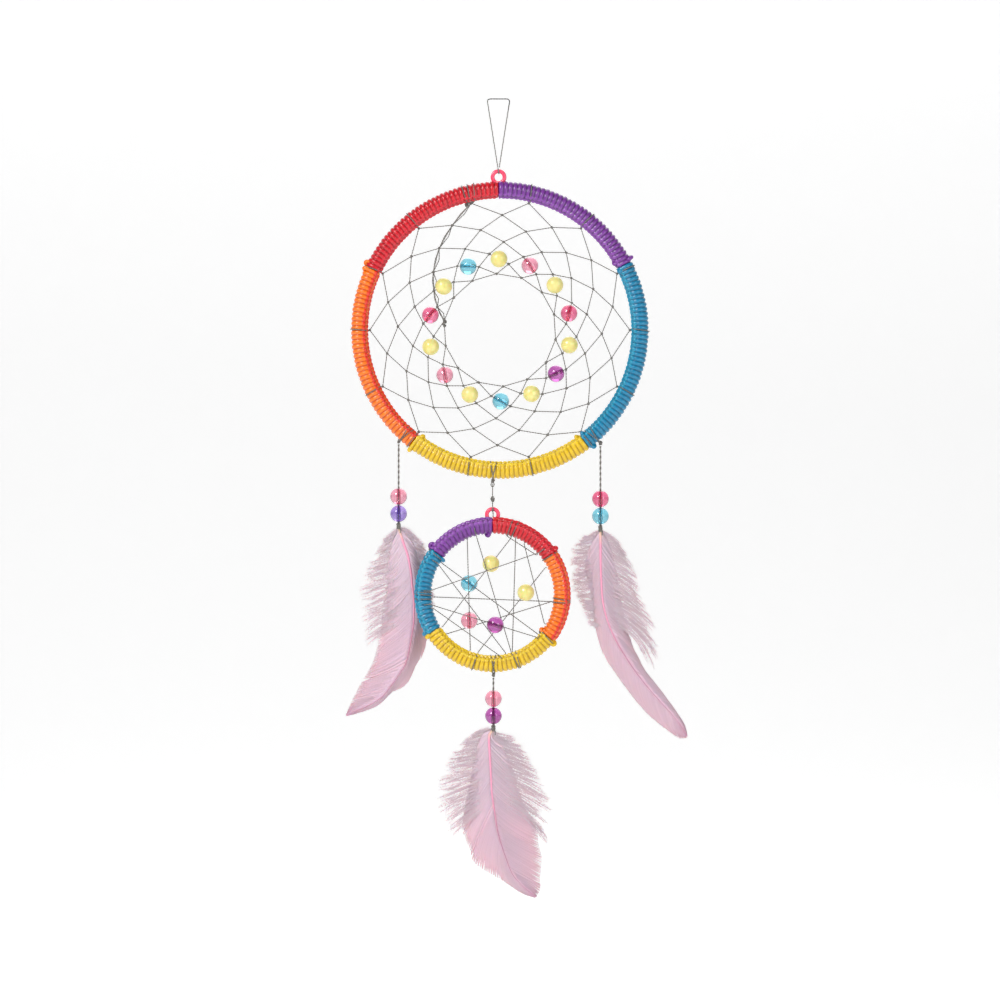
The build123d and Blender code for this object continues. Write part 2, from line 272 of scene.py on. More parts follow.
def rounds(count: int) -> Array:
    """Angles at even steps once round, in radians."""
    return 2 * np.pi * np.arange(count) / count


def oval(count: int, across: float, up: float) -> Array:
    """An oval section of the given half-sizes, counter-clockwise."""
    angle = rounds(count)
    return np.stack([across * np.cos(angle), up * np.sin(angle)], -1)


def two_strands(count: int, diameter: float, pinch: float = 0.42) -> Array:
    """The section of two strands side by side.

    The radius is half the diameter times one minus the pinch times the square of the sine, so
    it is full along the first direction and pinched between the strands.

    Args:
        count: Points round the section.
        diameter: The width over both strands.
        pinch: The share of the radius lost between them.

    Returns:
        The section, of shape (count, 2).
    """
    angle = rounds(count)
    radius = diameter / 2 * (1 - pinch * np.sin(angle) ** 2)
    return np.stack([radius * np.cos(angle), radius * np.sin(angle)], -1)


def stepped(points: Array) -> Array:
    """The length of the line from its first point to each point."""
    steps = np.linalg.norm(np.diff(points, axis=0), axis=1)
    return np.concatenate([[0], np.cumsum(steps)])


def along(points: Array, spacing: float) -> Array:
    """Divide the straight runs between points evenly.

    Args:
        points: The runs' ends, of shape (count, 3).
        spacing: The wanted distance between points.

    Returns:
        Points at even shares of the whole length.
    """
    reach = stepped(points)
    places = np.linspace(0, reach[-1], max(4, int(round(reach[-1] / spacing)) + 1))
    return np.stack([np.interp(places, reach, points[:, i]) for i in range(3)], -1)


def nurbs(points: Sequence[Sequence[float]]) -> Array:
    """Read the smooth line of a cord's route.

    Args:
        points: The route's control points in millimetres.

    Returns:
        The line's points in millimetres, as Blender evaluates the open NURBS spline.
    """
    curve = bpy.data.curves.new("route", "CURVE")
    curve.dimensions = "3D"
    spline = curve.splines.new("NURBS")
    spline.points.add(len(points) - 1)
    for place, point in zip(spline.points, points):
        place.co = (point[0] * MM, point[1] * MM, point[2] * MM, 1)
    spline.order_u = 3
    spline.use_endpoint_u = True
    spline.resolution_u = 12
    holder = bpy.data.objects.new("route", curve)
    line = bpy.data.meshes.new_from_object(holder)
    places = np.empty(len(line.vertices) * 3, np.float32)
    line.vertices.foreach_get("co", places)
    bpy.data.objects.remove(holder)
    bpy.data.curves.remove(curve)
    bpy.data.meshes.remove(line)
    return places.reshape(-1, 3).astype(float) / MM


def smooth_line(points: Sequence[Point], count: int) -> Array:
    """Draw a smooth flat line through points.

    Between two points the line is the cubic whose slope at each is half the step between its
    neighbours (Catmull-Rom), and it is then divided evenly by length.

    Args:
        points: Places in a feather's plane.
        count: How many points the line gets.

    Returns:
        Points of shape (count, 2).
    """
    held = np.asarray(points, float)
    held = np.concatenate([2 * held[:1] - held[1:2], held, 2 * held[-1:] - held[-2:-1]])
    t = np.linspace(0, 1, 17)[:-1, None]
    a, b, c, d = (held[i:len(held) - 3 + i, None] for i in range(4))
    fine = 0.5 * (2 * b + (c - a) * t + (2 * a - 5 * b + 4 * c - d) * t**2
                  + (3 * b - a - 3 * c + d) * t**3)
    fine = np.concatenate([fine.reshape(-1, 2), held[-2:-1]])
    reach = stepped(fine)
    places = np.linspace(0, reach[-1], count)
    return np.stack([np.interp(places, reach, fine[:, i]) for i in range(2)], -1)


def corners(node: str) -> tuple[Array, Array]:
    """The low and the high corner of a CAD node's box, in millimetres."""
    low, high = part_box(node)
    return np.array(low) / MM, np.array(high) / MM


def middle(node: str) -> Array:
    """The middle of a CAD node's box, in millimetres."""
    low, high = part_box(node)
    return (np.array(low) + np.array(high)) / 2 / MM


def shifted_by(place: Array, steps: Sequence[Sequence[float]]) -> Array:
    """Points at the given steps from a place."""
    return place + np.array(steps)


def pivot(joint: str) -> Array:
    """The place of a joint, in millimetres."""
    row = next(j for j in frame["record"]["behaviour"]["joints"] if j["name"] == joint)
    return np.array(row["pos_m"]) / MM


# ------------------------------------------------------------------ finishes
class Shader:
    """A material's nodes, round its surface shader."""

    def __init__(self, name: str) -> None:
        """Start a material with a Principled shader."""
        self.material = bpy.data.materials.new(name)
        self.material.use_nodes = True
        self.nodes = self.material.node_tree.nodes
        self.surface = self.nodes["Principled BSDF"]

    def add(self, kind: str, inputs: dict[str, object] | None = None, **settings: object
            ) -> bpy.types.Node:
        """Add a node.

        Args:
            kind: The node's type, such as ShaderNodeTexNoise.
            inputs: Sockets by name, each a value or an output to wire in.
            **settings: The node's own properties.

        Returns:
            The node.
        """
        node = self.nodes.new(kind)
        for key, value in settings.items():
            setattr(node, key, value)
        for key, value in (inputs or {}).items():
            self.give(node.inputs[key], value)
        return node

    def give(self, socket: bpy.types.NodeSocket, value: object) -> None:
        """Set a socket to a value, or wire an output into it."""
        if isinstance(value, bpy.types.NodeSocket):
            self.material.node_tree.links.new(value, socket)
        else:
            socket.default_value = value

    def shade(self, **values: object) -> None:
        """Set or wire the surface shader's sockets, whose names are given with underscores."""
        for key, value in values.items():
            self.give(self.surface.inputs[key.replace("_", " ")], value)

    def value(self, name: str) -> bpy.types.NodeSocket:
        """The output of one of the mesh's named values."""
        return self.add("ShaderNodeAttribute", attribute_name=name).outputs["Fac"]

    def noise(self, scale: float, stretch: Colour = WHITE, detail: float = 3.0,
              mapped: bool = False) -> bpy.types.NodeSocket:
        """Add a noise pattern.

        Args:
            scale: The pattern's scale.
            stretch: How much each coordinate is multiplied first.
            detail: The pattern's octaves.
            mapped: Whether it follows the piece's own map instead of its Object coordinates.

        Returns:
            The pattern's strength.
        """
        source = self.add("ShaderNodeTexCoord").outputs["UV" if mapped else "Object"]
        place = self.add("ShaderNodeMapping", {"Vector": source, "Scale": stretch})
        pattern = {"Vector": place.outputs["Vector"], "Scale": scale, "Detail": detail}
        return self.add("ShaderNodeTexNoise", pattern).outputs["Fac"]

    def ramp(self, factor: bpy.types.NodeSocket, stops: Sequence[tuple[float, Colour]]
             ) -> bpy.types.NodeSocket:
        """Turn a number into a colour.

        Args:
            factor: The number.
            stops: Places from 0 to 1 and their colours.

        Returns:
            The colour.
        """
        node = self.add("ShaderNodeValToRGB", {"Fac": factor})
        marks = node.color_ramp.elements
        while len(marks) < len(stops):
            marks.new(1.0)
        for mark, (place, colour) in zip(marks, stops):
            mark.position = place
            mark.color = (*colour, 1.0)
        return node.outputs["Color"]

    def mix(self, factor: object, low: object, high: object, blend: str = "MIX"
            ) -> bpy.types.NodeSocket:
        """Mix two colours.

        Args:
            factor: The share of the second colour.
            low: The first colour.
            high: The second colour.
            blend: Blender's name for the way they mix.

        Returns:
            The mixed colour.
        """
        node = self.add("ShaderNodeMix", data_type="RGBA", blend_type=blend)
        for socket, value in zip((node.inputs[0], node.inputs[6], node.inputs[7]),
                                 (factor, low, high)):
            self.give(socket, (*value, 1.0) if isinstance(value, tuple) else value)
        return node.outputs[2]

    def toned(self, body: bpy.types.NodeSocket, pattern: bpy.types.NodeSocket,
              low: float, high: float, dark: Colour) -> bpy.types.NodeSocket:
        """Darken a colour by a pattern.

        Args:
            body: The colour.
            pattern: The number it is darkened by.
            low: The pattern's value below which the darkening is full.
            high: The value above which there is none.
            dark: What the colour is multiplied by where it is full.

        Returns:
            The darkened colour.
        """
        return self.mix(1.0, body, self.ramp(pattern, [(low, dark), (high, WHITE)]), "MULTIPLY")

    def bump(self, height: bpy.types.NodeSocket, strength: float, depth: float) -> None:
        """Wire a height into the shader's normal.

        Args:
            height: The pattern.
            strength: The share of the effect.
            depth: The relief in millimetres.
        """
        values = {"Height": height, "Strength": strength, "Distance": depth * MM}
        self.shade(Normal=self.add("ShaderNodeBump", values).outputs["Normal"])


def linear(red: int, green: int, blue: int) -> Colour:
    """The linear colour of a display colour, each channel from 0 to 255."""
    parts = np.array([red, green, blue]) / 255
    low, high = parts / 12.92, ((parts + 0.055) / 1.055) ** 2.4
    return tuple(float(v) for v in np.where(parts <= 0.04045, low, high))


@dataclass(frozen=True)
class Finish(ABC):
    """How a material of this object looks.

    Attributes:
        name: The record's material slot.
    """

    name: str

    @abstractmethod
    def dress(self, shader: Shader) -> None:
        """Build the material's nodes."""

    def material(self) -> bpy.types.Material:
        """The material, made once."""
        found = bpy.data.materials.get(f"finish_{self.name}")
        if found is None:
            shader = Shader(f"finish_{self.name}")
            self.dress(shader)
            found = shader.material
        return found


@dataclass(frozen=True)
class SatinFinish(Finish):
    """Satin cord wound in turns: fine fibres along the cord, and shade painted down between the
    turns.

    Attributes:
        colour: The turns' colour.
        chain: The colour of the chain of hitches: on the orange the real red ridge, on the others
            a lighter copy of the turns' colour as painted highlight.
        shade: The colour of the shade painted down between the turns and round the hitches.
    """

    colour: Colour
    chain: Colour
    shade: Colour

    def dress(self, shader: Shader) -> None:
        """Colour by turn and chain, paint shade into the grooves, and add fibres as fine relief.
        """
        fibre = shader.noise(26.0, (0.35, 9.0, 1.0), 2.0, mapped=True)
        tone = shader.noise(420.0, detail=2.0)
        body = shader.mix(shader.value("chain"), self.colour, self.chain)
        body = shader.toned(body, tone, 0.3, 0.7, (0.82, 0.82, 0.82))
        # painted shade: the cord darkens to its shade colour down between the turns and at the
        # hitches' seams
        body = shader.mix(shader.value("groove"), body, self.shade)
        body = shader.toned(body, fibre, 0.25, 0.75, (0.86, 0.86, 0.86))
        shader.shade(Base_Color=body, Roughness=0.3, Coat_Weight=0.3, Coat_Roughness=0.18)
        shader.bump(fibre, 0.35, 0.06)


@dataclass(frozen=True)
class ThreadFinish(Finish):
    """Twisted metallic thread: two strands in their own colour, with shade painted between them.

    Attributes:
        colour: The strands' colour.
        gap_shade: The colour painted between the strands as their shade.
        shadow: The colour of a shaded stretch.
    """

    colour: Colour
    gap_shade: Colour
    shadow: Colour = (0.006, 0.005, 0.006)

    def dress(self, shader: Shader) -> None:
        """Colour by the lay of the strands with shade painted between them, darker where the
        thread is in shadow.
        """
        lay = shader.value("lay")
        grain = shader.noise(2600.0, detail=2.0)
        body = shader.mix(lay, self.colour, self.gap_shade)
        body = shader.toned(body, grain, 0.35, 0.65, (0.7, 0.7, 0.7))
        body = shader.mix(shader.value("dark"), body, self.shadow)
        shader.shade(Base_Color=body, Metallic=0.35, Roughness=0.42)
        shader.bump(grain, 0.3, 0.04)


@dataclass(frozen=True)
class ClearBeadFinish(Finish):
    """Clear coloured plastic of a round bead.

    Attributes:
        colour: The plastic's colour.
        density: How deep the colour is.
    """

    colour: Colour
    density: float

    def dress(self, shader: Shader) -> None:
        """A clear shader, with faint swirls of colour from the moulding."""
        swirl = shader.noise(300.0, (1.0, 1.0, 0.4), 2.0)
        deep = tuple(c ** (1 + 0.5 * self.density) for c in self.colour)
        tint = shader.ramp(swirl, [(0.3, self.colour), (0.7, deep)])
        shader.shade(Base_Color=tint, Roughness=0.03, IOR=1.46, Transmission_Weight=0.94,
                     Coat_Weight=0.4, Coat_Roughness=0.03)
        shader.bump(swirl, 0.08, 0.05)


@dataclass(frozen=True)
class MilkyBeadFinish(Finish):
    """Cloudy plastic of a round bead.

    Attributes:
        colour: The plastic's colour.
        cloud: The colour of its paler clouds.
    """

    colour: Colour
    cloud: Colour

    def dress(self, shader: Shader) -> None:
        """A soft glow under a smooth skin, with faint clouds."""
        clouds = shader.noise(330.0)
        shader.shade(Base_Color=shader.ramp(clouds, [(0.3, self.colour), (0.75, self.cloud)]),
                     Roughness=0.3, Subsurface_Weight=0.35, Subsurface_Scale=0.0015,
                     Coat_Weight=0.25, Coat_Roughness=0.1)
        shader.bump(clouds, 0.06, 0.05)


@dataclass(frozen=True)
class MouldedFinish(Finish):
    """Glossy moulded plastic of the hoops' rings.

    Attributes:
        colour: The plastic's colour.
    """

    colour: Colour

    def dress(self, shader: Shader) -> None:
        """A slightly uneven gloss, with faint flow marks."""
        flow = shader.noise(260.0, (1.0, 1.0, 2.5))
        pale = tuple(min(1.0, c * 1.12 + 0.01) for c in self.colour)
        shader.shade(Base_Color=shader.ramp(flow, [(0.3, self.colour), (0.7, pale)]),
                     Roughness=0.24, Coat_Weight=0.35, Coat_Roughness=0.08,
                     Subsurface_Weight=0.12, Subsurface_Scale=0.001)
        shader.bump(flow, 0.15, 0.05)


@dataclass(frozen=True)
class BarbFinish(Finish):
    """Dyed barbs of a feather, paler in the down and deeper towards the tip, where shade of the
    curl is painted in as well.

    Attributes:
        down: The colour of the down.
        body: The colour of the vane.
        tip: The colour at the tip and the lower barbs' ends: partly the dye's deeper pink, partly
            painted shade of the curling vane.
    """

    down: Colour
    body: Colour
    tip: Colour

    def dress(self, shader: Shader) -> None:
        """Colour along the feather, with a fine streak from barb to barb."""
        stops = [(0.0, self.down), (0.35, self.body), (0.75, self.body), (1.0, self.tip)]
        body = shader.ramp(shader.value("dye"), stops)
        body = shader.toned(body, shader.value("streak"), 0.0, 1.0, (0.93, 0.91, 0.92))
        shader.shade(Base_Color=body, Roughness=0.62, Sheen_Weight=0.35, Sheen_Roughness=0.4,
                     Subsurface_Weight=0.25, Subsurface_Scale=0.0008)
        shader.bump(shader.noise(900.0), 0.2, 0.05)


@dataclass(frozen=True)
class QuillFinish(Finish):
    """The horny shaft of a feather.

    Attributes:
        root: The colour at the bare end.
        shaft: The colour along the upper half.
        shade: The colour along the thin lower half.
    """

    root: Colour
    shaft: Colour
    shade: Colour

    def dress(self, shader: Shader) -> None:
        """Colour along the shaft, with fine streaks along it."""
        streak = shader.noise(18.0, (6.0, 0.4, 1.0), 2.0, mapped=True)
        stops = [(0.0, self.root), (0.07, self.shaft), (0.35, self.shaft), (0.6, self.shade)]
        body = shader.ramp(shader.value("dye"), stops)
        body = shader.toned(body, streak, 0.3, 0.7, (0.88, 0.86, 0.86))
        shader.shade(Base_Color=body, Roughness=0.35, Coat_Weight=0.2, Coat_Roughness=0.2)
        shader.bump(streak, 0.15, 0.05)


@dataclass(frozen=True)
class PaperFinish(Finish):
    """The pale sheet behind and under the object, lit from within.

    Attributes:
        colour: The sheet's colour.
        glow: The light that it gives.
    """

    colour: Colour
    glow: float

    def dress(self, shader: Shader) -> None:
        """An even matt sheet with a faint tooth."""
        tooth = shader.noise(60.0, detail=2.0)
        pale = tuple(c * 0.995 for c in self.colour)
        shader.shade(Base_Color=shader.ramp(tooth, [(0.3, pale), (0.7, self.colour)]),
                     Roughness=0.9, Emission_Color=(*WHITE, 1.0),
                     Emission_Strength=self.glow)


# Each satin: turns, chain of hitches, painted shade between turns. Orange's chain is its real red
# ridge; the others' chains are lighter copies, painted highlight.
SATINS = {
    name: SatinFinish(f"satin_{name}", *(linear(*tint) for tint in tints))
    for name, tints in {
        "red": ((212, 4, 30), (218, 8, 38), (88, 0, 14)),
        "purple": ((120, 50, 150), (140, 70, 172), (40, 6, 60)),
        "orange": ((252, 122, 10), (234, 40, 12), (172, 22, 0)),
        "yellow": ((234, 194, 14), (240, 204, 28), (142, 90, 0)),
        "blue": ((0, 130, 172), (0, 148, 184), (0, 46, 78)),
    }.items()
}
THREAD = ThreadFinish("metallic_thread", linear(158, 155, 150), linear(58, 54, 50))
BEADS: dict[str, Finish] = {
    name: ClearBeadFinish(f"bead_{name}", linear(*tint), density)
    for name, tint, density in (
        ("pink", (244, 178, 196), 1.0), ("rose", (240, 132, 168), 1.0),
        ("purple", (196, 110, 186), 1.2), ("violet", (180, 156, 224), 1.2),
        ("aqua", (146, 214, 230), 1.0),
    )
}
BEADS["yellow"] = MilkyBeadFinish("bead_yellow", linear(218, 206, 116), linear(230, 222, 150))
RING = MouldedFinish("ring_plastic", linear(232, 70, 104))
VANE = BarbFinish("feather_vane", linear(230, 206, 215), linear(236, 190, 205),
                  linear(204, 138, 163))
QUILL = QuillFinish("feather_quill", linear(232, 206, 170), linear(240, 158, 188),
                    linear(196, 126, 152))
PAPER = PaperFinish("paper", (0.92, 0.92, 0.92), 0.34)


def add_piece(name: str, surface: Surface | list[Surface], finish: Finish, body: str,
              stands_for: Sequence[str] = ()) -> bpy.types.Object:
    """Write a surface as a finished piece that rides on a body.

    Args:
        name: The piece's name.
        surface: Its shape, or the parts of it.
        finish: Its finish, whose name is its material slot.
        body: The CAD body it moves with.
        stands_for: The CAD nodes that it takes the place of.

    Returns:
        The piece.
    """
    shape = Surface.joined(surface) if isinstance(surface, list) else surface
    piece = shape.write(name)
    piece.data.materials.append(finish.material())
    if stands_for:
        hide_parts(*stands_for)
    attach(piece, body)
    log.info("%s: %d faces on %s", name, len(piece.data.polygons), body)
    return piece


# ------------------------------------------------------------------ thread
@dataclass(frozen=True)
class Thread:
    """Twisted thread of two strands.

    Attributes:
        diameter: The width over both strands.
        pitch: The length of one full turn of the twist.
        spacing: The distance between rings along it.
        sides: Points round the section.
    """

    diameter: float
    pitch: float = 2.6
    spacing: float = 0.42
    sides: int = 8

    def run(self, points: Array, guide: Array = FRONT, looped: bool = False,
            dark: Array | None = None) -> Surface:
        """Carry the two strands along one line, turned evenly once to a pitch.

        Args:
            points: The line, of shape (count, 3).
            guide: The guide of `frames`.
            looped: Whether the line closes.
            dark: How dark each point of the line is, from 0 to 1.

        Returns:
            The thread's surface.
        """
        reach = stepped(points)
        whole = reach[-1] + (np.linalg.norm(points[0] - points[-1]) if looped else 0)
        turns = max(1.0, round(whole / self.pitch)) if looped else whole / self.pitch
        turn = 2 * np.pi * turns * reach / whole
        profile = two_strands(self.sides, self.diameter)
        rings = carried(points[None], profile, guide, turn[None], 1.0, looped)
        # painted shade: 1 where the two strands meet, 0 on their backs
        lay = np.sin(rounds(self.sides)) ** 4
        shadow = np.zeros(len(points)) if dark is None else dark
        values = {"lay": lay[None, None], "dark": shadow[None, :, None]}
        return Surface.tube(rings, looped, whole, values)

    def ring(self, centre: Array, radius: float, axis: Array, squeeze: float = 1.0,
             skew: float = 0.0) -> Surface:
        """Wind one closed turn round an axis.

        A point of the turn is the radius times the cosine across and the sine along the turn's
        two directions, the second squeezed, and leans along the axis by the skew times the sine.

        Args:
            centre: The turn's middle.
            radius: Its radius.
            axis: The direction it goes round.
            squeeze: The share of the radius kept along the second direction.
            skew: How far it leans along the axis.

        Returns:
            The turn's surface.
        """
        axis = unit(axis)
        start = UP if abs(axis[2]) < 0.9 else ACROSS
        first = unit(np.cross(axis, start))
        second = np.cross(axis, first)
        count = max(14, int(2 * np.pi * radius / self.spacing))
        angle = rounds(count)[:, None]
        line = centre + radius * (np.cos(angle) * first + squeeze * np.sin(angle) * second)
        return self.run(line + skew * np.sin(angle) * axis, axis, looped=True)

    def knots(self, places: Array, size: float, seed: int = 0) -> Surface:
        """Tie an overhand knot at each place.

        Each knot is a trefoil: its radius is two plus the cosine of three turns to the curve's
        two, and its height the sine of three. It is turned by its own angle about the front.

        Args:
            places: The knots' middles, of shape (knots, 3).
            size: The knot's diameter.
            seed: The start of the random turns.

        Returns:
            The knots' surface.
        """
        rng = np.random.default_rng(seed)
        t = rounds(18)[None]
        spin = rng.uniform(0, 2 * np.pi, (len(places), 1))
        reach = (2 + np.cos(3 * t)) / 3
        x, z, y = reach * np.cos(2 * t + spin), reach * np.sin(2 * t + spin), 0.55 * np.sin(3 * t)
        grow = (size - self.diameter) / 2 * rng.uniform(0.85, 1.15, (len(places), 1))
        shape = np.stack([x * grow, np.broadcast_to(y, x.shape) * grow, z * grow], -1)
        path = np.asarray(places)[:, None] + shape
        outward = unit(shape + 0.3 * FRONT)
        rings = carried(path, oval(4, self.diameter / 2, self.diameter / 2), outward, looped=True)
        # painted shade on the two sides where the knot's thread pinches
        lay = np.array([0.0, 0.8, 0.0, 0.8])[None, None]
        return Surface.tube(rings, True, 6.0, {"lay": lay})


WEB_THREAD = Thread(0.58)
TIE_THREAD = Thread(0.6)
LOOP_THREAD = Thread(0.6, spacing=0.2, sides=12)
STRAND_THREAD = Thread(1.0, pitch=5.2, spacing=0.35, sides=14)


# ------------------------------------------------------------------ hoops
@dataclass(frozen=True)
class Hitch:
    """The oval of one hitch in the rows along the wraps.

    Attributes:
        long: Half its length.
        wide: Half its width.
        foot: How far its foot stands over the turns' centre-line.
        rise: How far its top stands over its foot.
        leans: How far the hitches of each row lean, in radians.
        rim: How dark the shade painted at the seam round it is.
    """

    long: float = 1.5
    wide: float = 1.04
    foot: float = 0.55
    rise: float = 0.98
    leans: tuple[float, float] = (0.62, -0.5)
    rim: float = 0.85


@dataclass(frozen=True)
class Wrap:
    """One colour's span of half hitches on a hoop.

    Attributes:
        colour: The satin's name.
        start: The angle where it starts.
        end: The angle where it ends.
        chain: The angles round the ring of its two rows of hitches; 0 is outwards and 90 is front.
        loops: Loose loops of cord as (angle, angle round the ring, radius, lean).
    """

    colour: str
    start: float
    end: float
    chain: tuple[float, float]
    loops: tuple[tuple[float, float, float, float], ...] = ()


@dataclass
class WrappedHoop:
    """A moulded ring wound with satin cord, and what is tied round it.

    Attributes:
        name: The hoop's name in its nodes.
        wraps: The spans of cord, in order.
        cord: The cord's diameter.
        pitch: The distance from turn to turn along the ring's centre-line.
        core: The radius of the turns' centre-line round the ring's.
        per_turn: Grid steps along the hoop to a turn.
        around: Grid steps round the ring.
        rod: Half the thickness of the moulded ring.
        hitch: The hitches of the two rows.
    """

    name: str
    wraps: tuple[Wrap, ...]
    cord: float = 2.0
    pitch: float = 2.12
    core: float = 3.0
    per_turn: int = 8
    around: int = 56
    rod: float = 2.0
    hitch: Hitch = Hitch()
    centre: Array = field(init=False)
    radius: float = field(init=False)

    def __post_init__(self) -> None:
        """Read the ring's middle and radius from its box: its width is the ring's own."""
        low, high = corners(f"{self.name}_ring")
        half = (high[0] - low[0]) / 2
        self.radius = half - self.rod
        self.centre = np.array([(low[0] + high[0]) / 2, 0.0, low[2] + half])

    def at(self, reach: Array | float, angle: Array | float, depth: Array | float = 0.0) -> Array:
        """The point at a distance from the middle, at an angle in degrees, and at a depth."""
        a = np.radians(angle)
        x, y, z = np.broadcast_arrays(reach * np.cos(a), depth, reach * np.sin(a))
        return self.centre + np.stack([x, y, z], -1)

    def tangent(self, angle: float) -> Array:
        """The direction along the ring at an angle in degrees."""
        return np.array([-math.sin(math.radians(angle)), 0.0, math.cos(math.radians(angle))])

    def sleeve(self, wrap: Wrap, seed: int) -> Surface:
        """Work out a span of half hitches as one surface over the ring.

        The two parameters are the place along the hoop and the angle round the ring. Across each
        turn the surface is a half circle of the cord on the core's radius. Over the turns lie two
        rows of leaning ovals, one hitch to a turn, and the surface is the highest of the three.
        Shade is painted towards a hitch's foot, where it meets the turns, and down between the
        turns. Each turn is a little thicker or thinner than its neighbours and leans a little.

        Args:
            wrap: The span.
            seed: The start of the random differences.

        Returns:
            The span's surface, with how much of each point is chain and how much shade is painted
            on it, down in a groove or at a hitch's seam.
        """
        rng = np.random.default_rng(seed)
        reach = math.radians(wrap.end - wrap.start) * self.radius
        turns = max(3, round(reach / self.pitch))
        step = reach / turns
        place = np.linspace(0, turns, turns * self.per_turn + 1)[:, None]
        angle = rounds(self.around)[None]
        lean = 0.16 * np.sin(angle) + 0.05 * np.sin(2 * angle + 1.0)
        shifted = np.clip(place + lean * np.minimum(1, np.minimum(place, turns - place)), 0, turns)
        turn = np.minimum(shifted.astype(int), turns - 1)
        thick = rng.uniform(-0.09, 0.09, turns)[turn]
        across = (shifted - turn - 0.5) * 2
        half = self.cord / 2
        bar = self.core + (half + thick) * np.sqrt(np.clip(1 - across**2 * 0.97, 0, 1))
        height, chain, seam_shade = bar, np.zeros_like(bar), np.zeros_like(bar)
        shape = self.hitch
        for row, (middle_angle, slant) in enumerate(zip(wrap.chain, shape.leans)):
            round_by = (np.degrees(angle) - middle_angle + 180) % 360 - 180
            v = np.radians(round_by) * (self.core + half)
            jitter = rng.uniform(-0.1, 0.1, turns + 2)
            grow = rng.uniform(0.9, 1.1, turns + 2)
            shift = place - 0.5 * row
            which = np.clip(np.round(shift - 0.5), 0, turns - 1).astype(int)
            u = (shift - 0.5 - which + jitter[which]) * step
            lean_u = u * math.cos(slant) + v * math.sin(slant)
            lean_v = -u * math.sin(slant) + v * math.cos(slant)
            inside = 1 - (lean_u / shape.long) ** 2 - (lean_v / (shape.wide * grow[which])) ** 2
            lump = self.core + shape.foot + shape.rise * np.sqrt(np.clip(inside, 0, 1))
            over = (inside > 0) & (lump > height)
            # chain: where the hitches stand; it picks the chain colour, a painted highlight on all
            # but the orange
            chain = np.maximum(chain, np.clip((lump - height) * 4, 0, 1) * over)
            # painted shade at the seam round each hitch, darkest at the oval's edge
            seam_shade = np.where(over, shape.rim * np.clip(1 - 2.6 * inside, 0, 1), seam_shade)
            height = np.where(over, lump, height)
        a = wrap.start + (wrap.end - wrap.start) * place / turns
        points = self.at(self.radius + height * np.cos(angle), a, -height * np.sin(angle))
        # painted shade: darker down between the turns and at the seam round each hitch
        groove = np.maximum(np.clip((self.core + half - 0.22 - height) / 0.62, 0, 1) ** 1.2, seam_shade)
        rings = np.ascontiguousarray(points[None, :, ::-1])
        values = {"chain": chain[None, :, ::-1], "groove": groove[None, :, ::-1]}
        return Surface.tube(rings, False, turns, values)

    def loose_loops(self, wrap: Wrap) -> list[Surface]:
        """The loose loops of cord where a span starts or ends.

        Each is a closed turn of the cord, standing on the wraps at its angle round the ring, with
        its own axis leaning between the hoop's tangent and the front.

        Args:
            wrap: The span.

        Returns:
            One surface for each loop.
        """
        made = []
        for angle, round_by, radius, lean in wrap.loops:
            out = self.core + self.cord * 0.34
            c, s = math.cos(math.radians(round_by)), math.sin(math.radians(round_by))
            centre = self.at(self.radius + out * c, angle, -out * s)
            axis = unit((1 - lean) * self.tangent(angle) + lean * FRONT)
            first = unit(np.cross(axis, self.at(1.0, angle) - self.centre))
            second = np.cross(axis, first)
            t = rounds(22)[:, None]
            line = centre + radius * (np.cos(t) * first + 1.15 * np.sin(t) * second)
            rings = carried(line[None], oval(10, 0.46 * self.cord, 0.46 * self.cord), axis,
                            looped=True)
            made.append(Surface.tube(rings, True, 4.0))
        return made

    def build_wraps(self) -> None:
        """Wind each span and stand it for its node."""
        for number, wrap in enumerate(self.wraps):
            parts = [self.sleeve(wrap, 10 + number), *self.loose_loops(wrap)]
            node = f"{self.name}_wrap_{wrap.colour}"
            add_piece(f"{node}_cord", parts, SATINS[wrap.colour], f"{self.name}_hoop", [node])

    def dress_ring(self) -> None:
        """Give the CAD ring its moulded plastic."""
        ring = frame["nodes"][f"{self.name}_ring"]
        for held in ring.material_slots:
            held.material = RING.material()
        log.info("%s_ring: dressed", self.name)

    def hitches(self, angles: Iterable[float], thread: Thread, seed: int) -> list[Surface]:
        """Turns of thread over the wraps, each sunk a little between two turns of cord.

        Args:
            angles: Where they go round.
            thread: The thread.
            seed: The start of their random leans.

        Returns:
            One surface for each turn.
        """
        rng = np.random.default_rng(seed)
        reach = self.core + self.cord / 2 + thread.diameter * 0.3
        return [thread.ring(self.at(self.radius, a), reach, self.tangent(a),
                            skew=float(rng.uniform(-0.7, 0.7))) for a in angles]


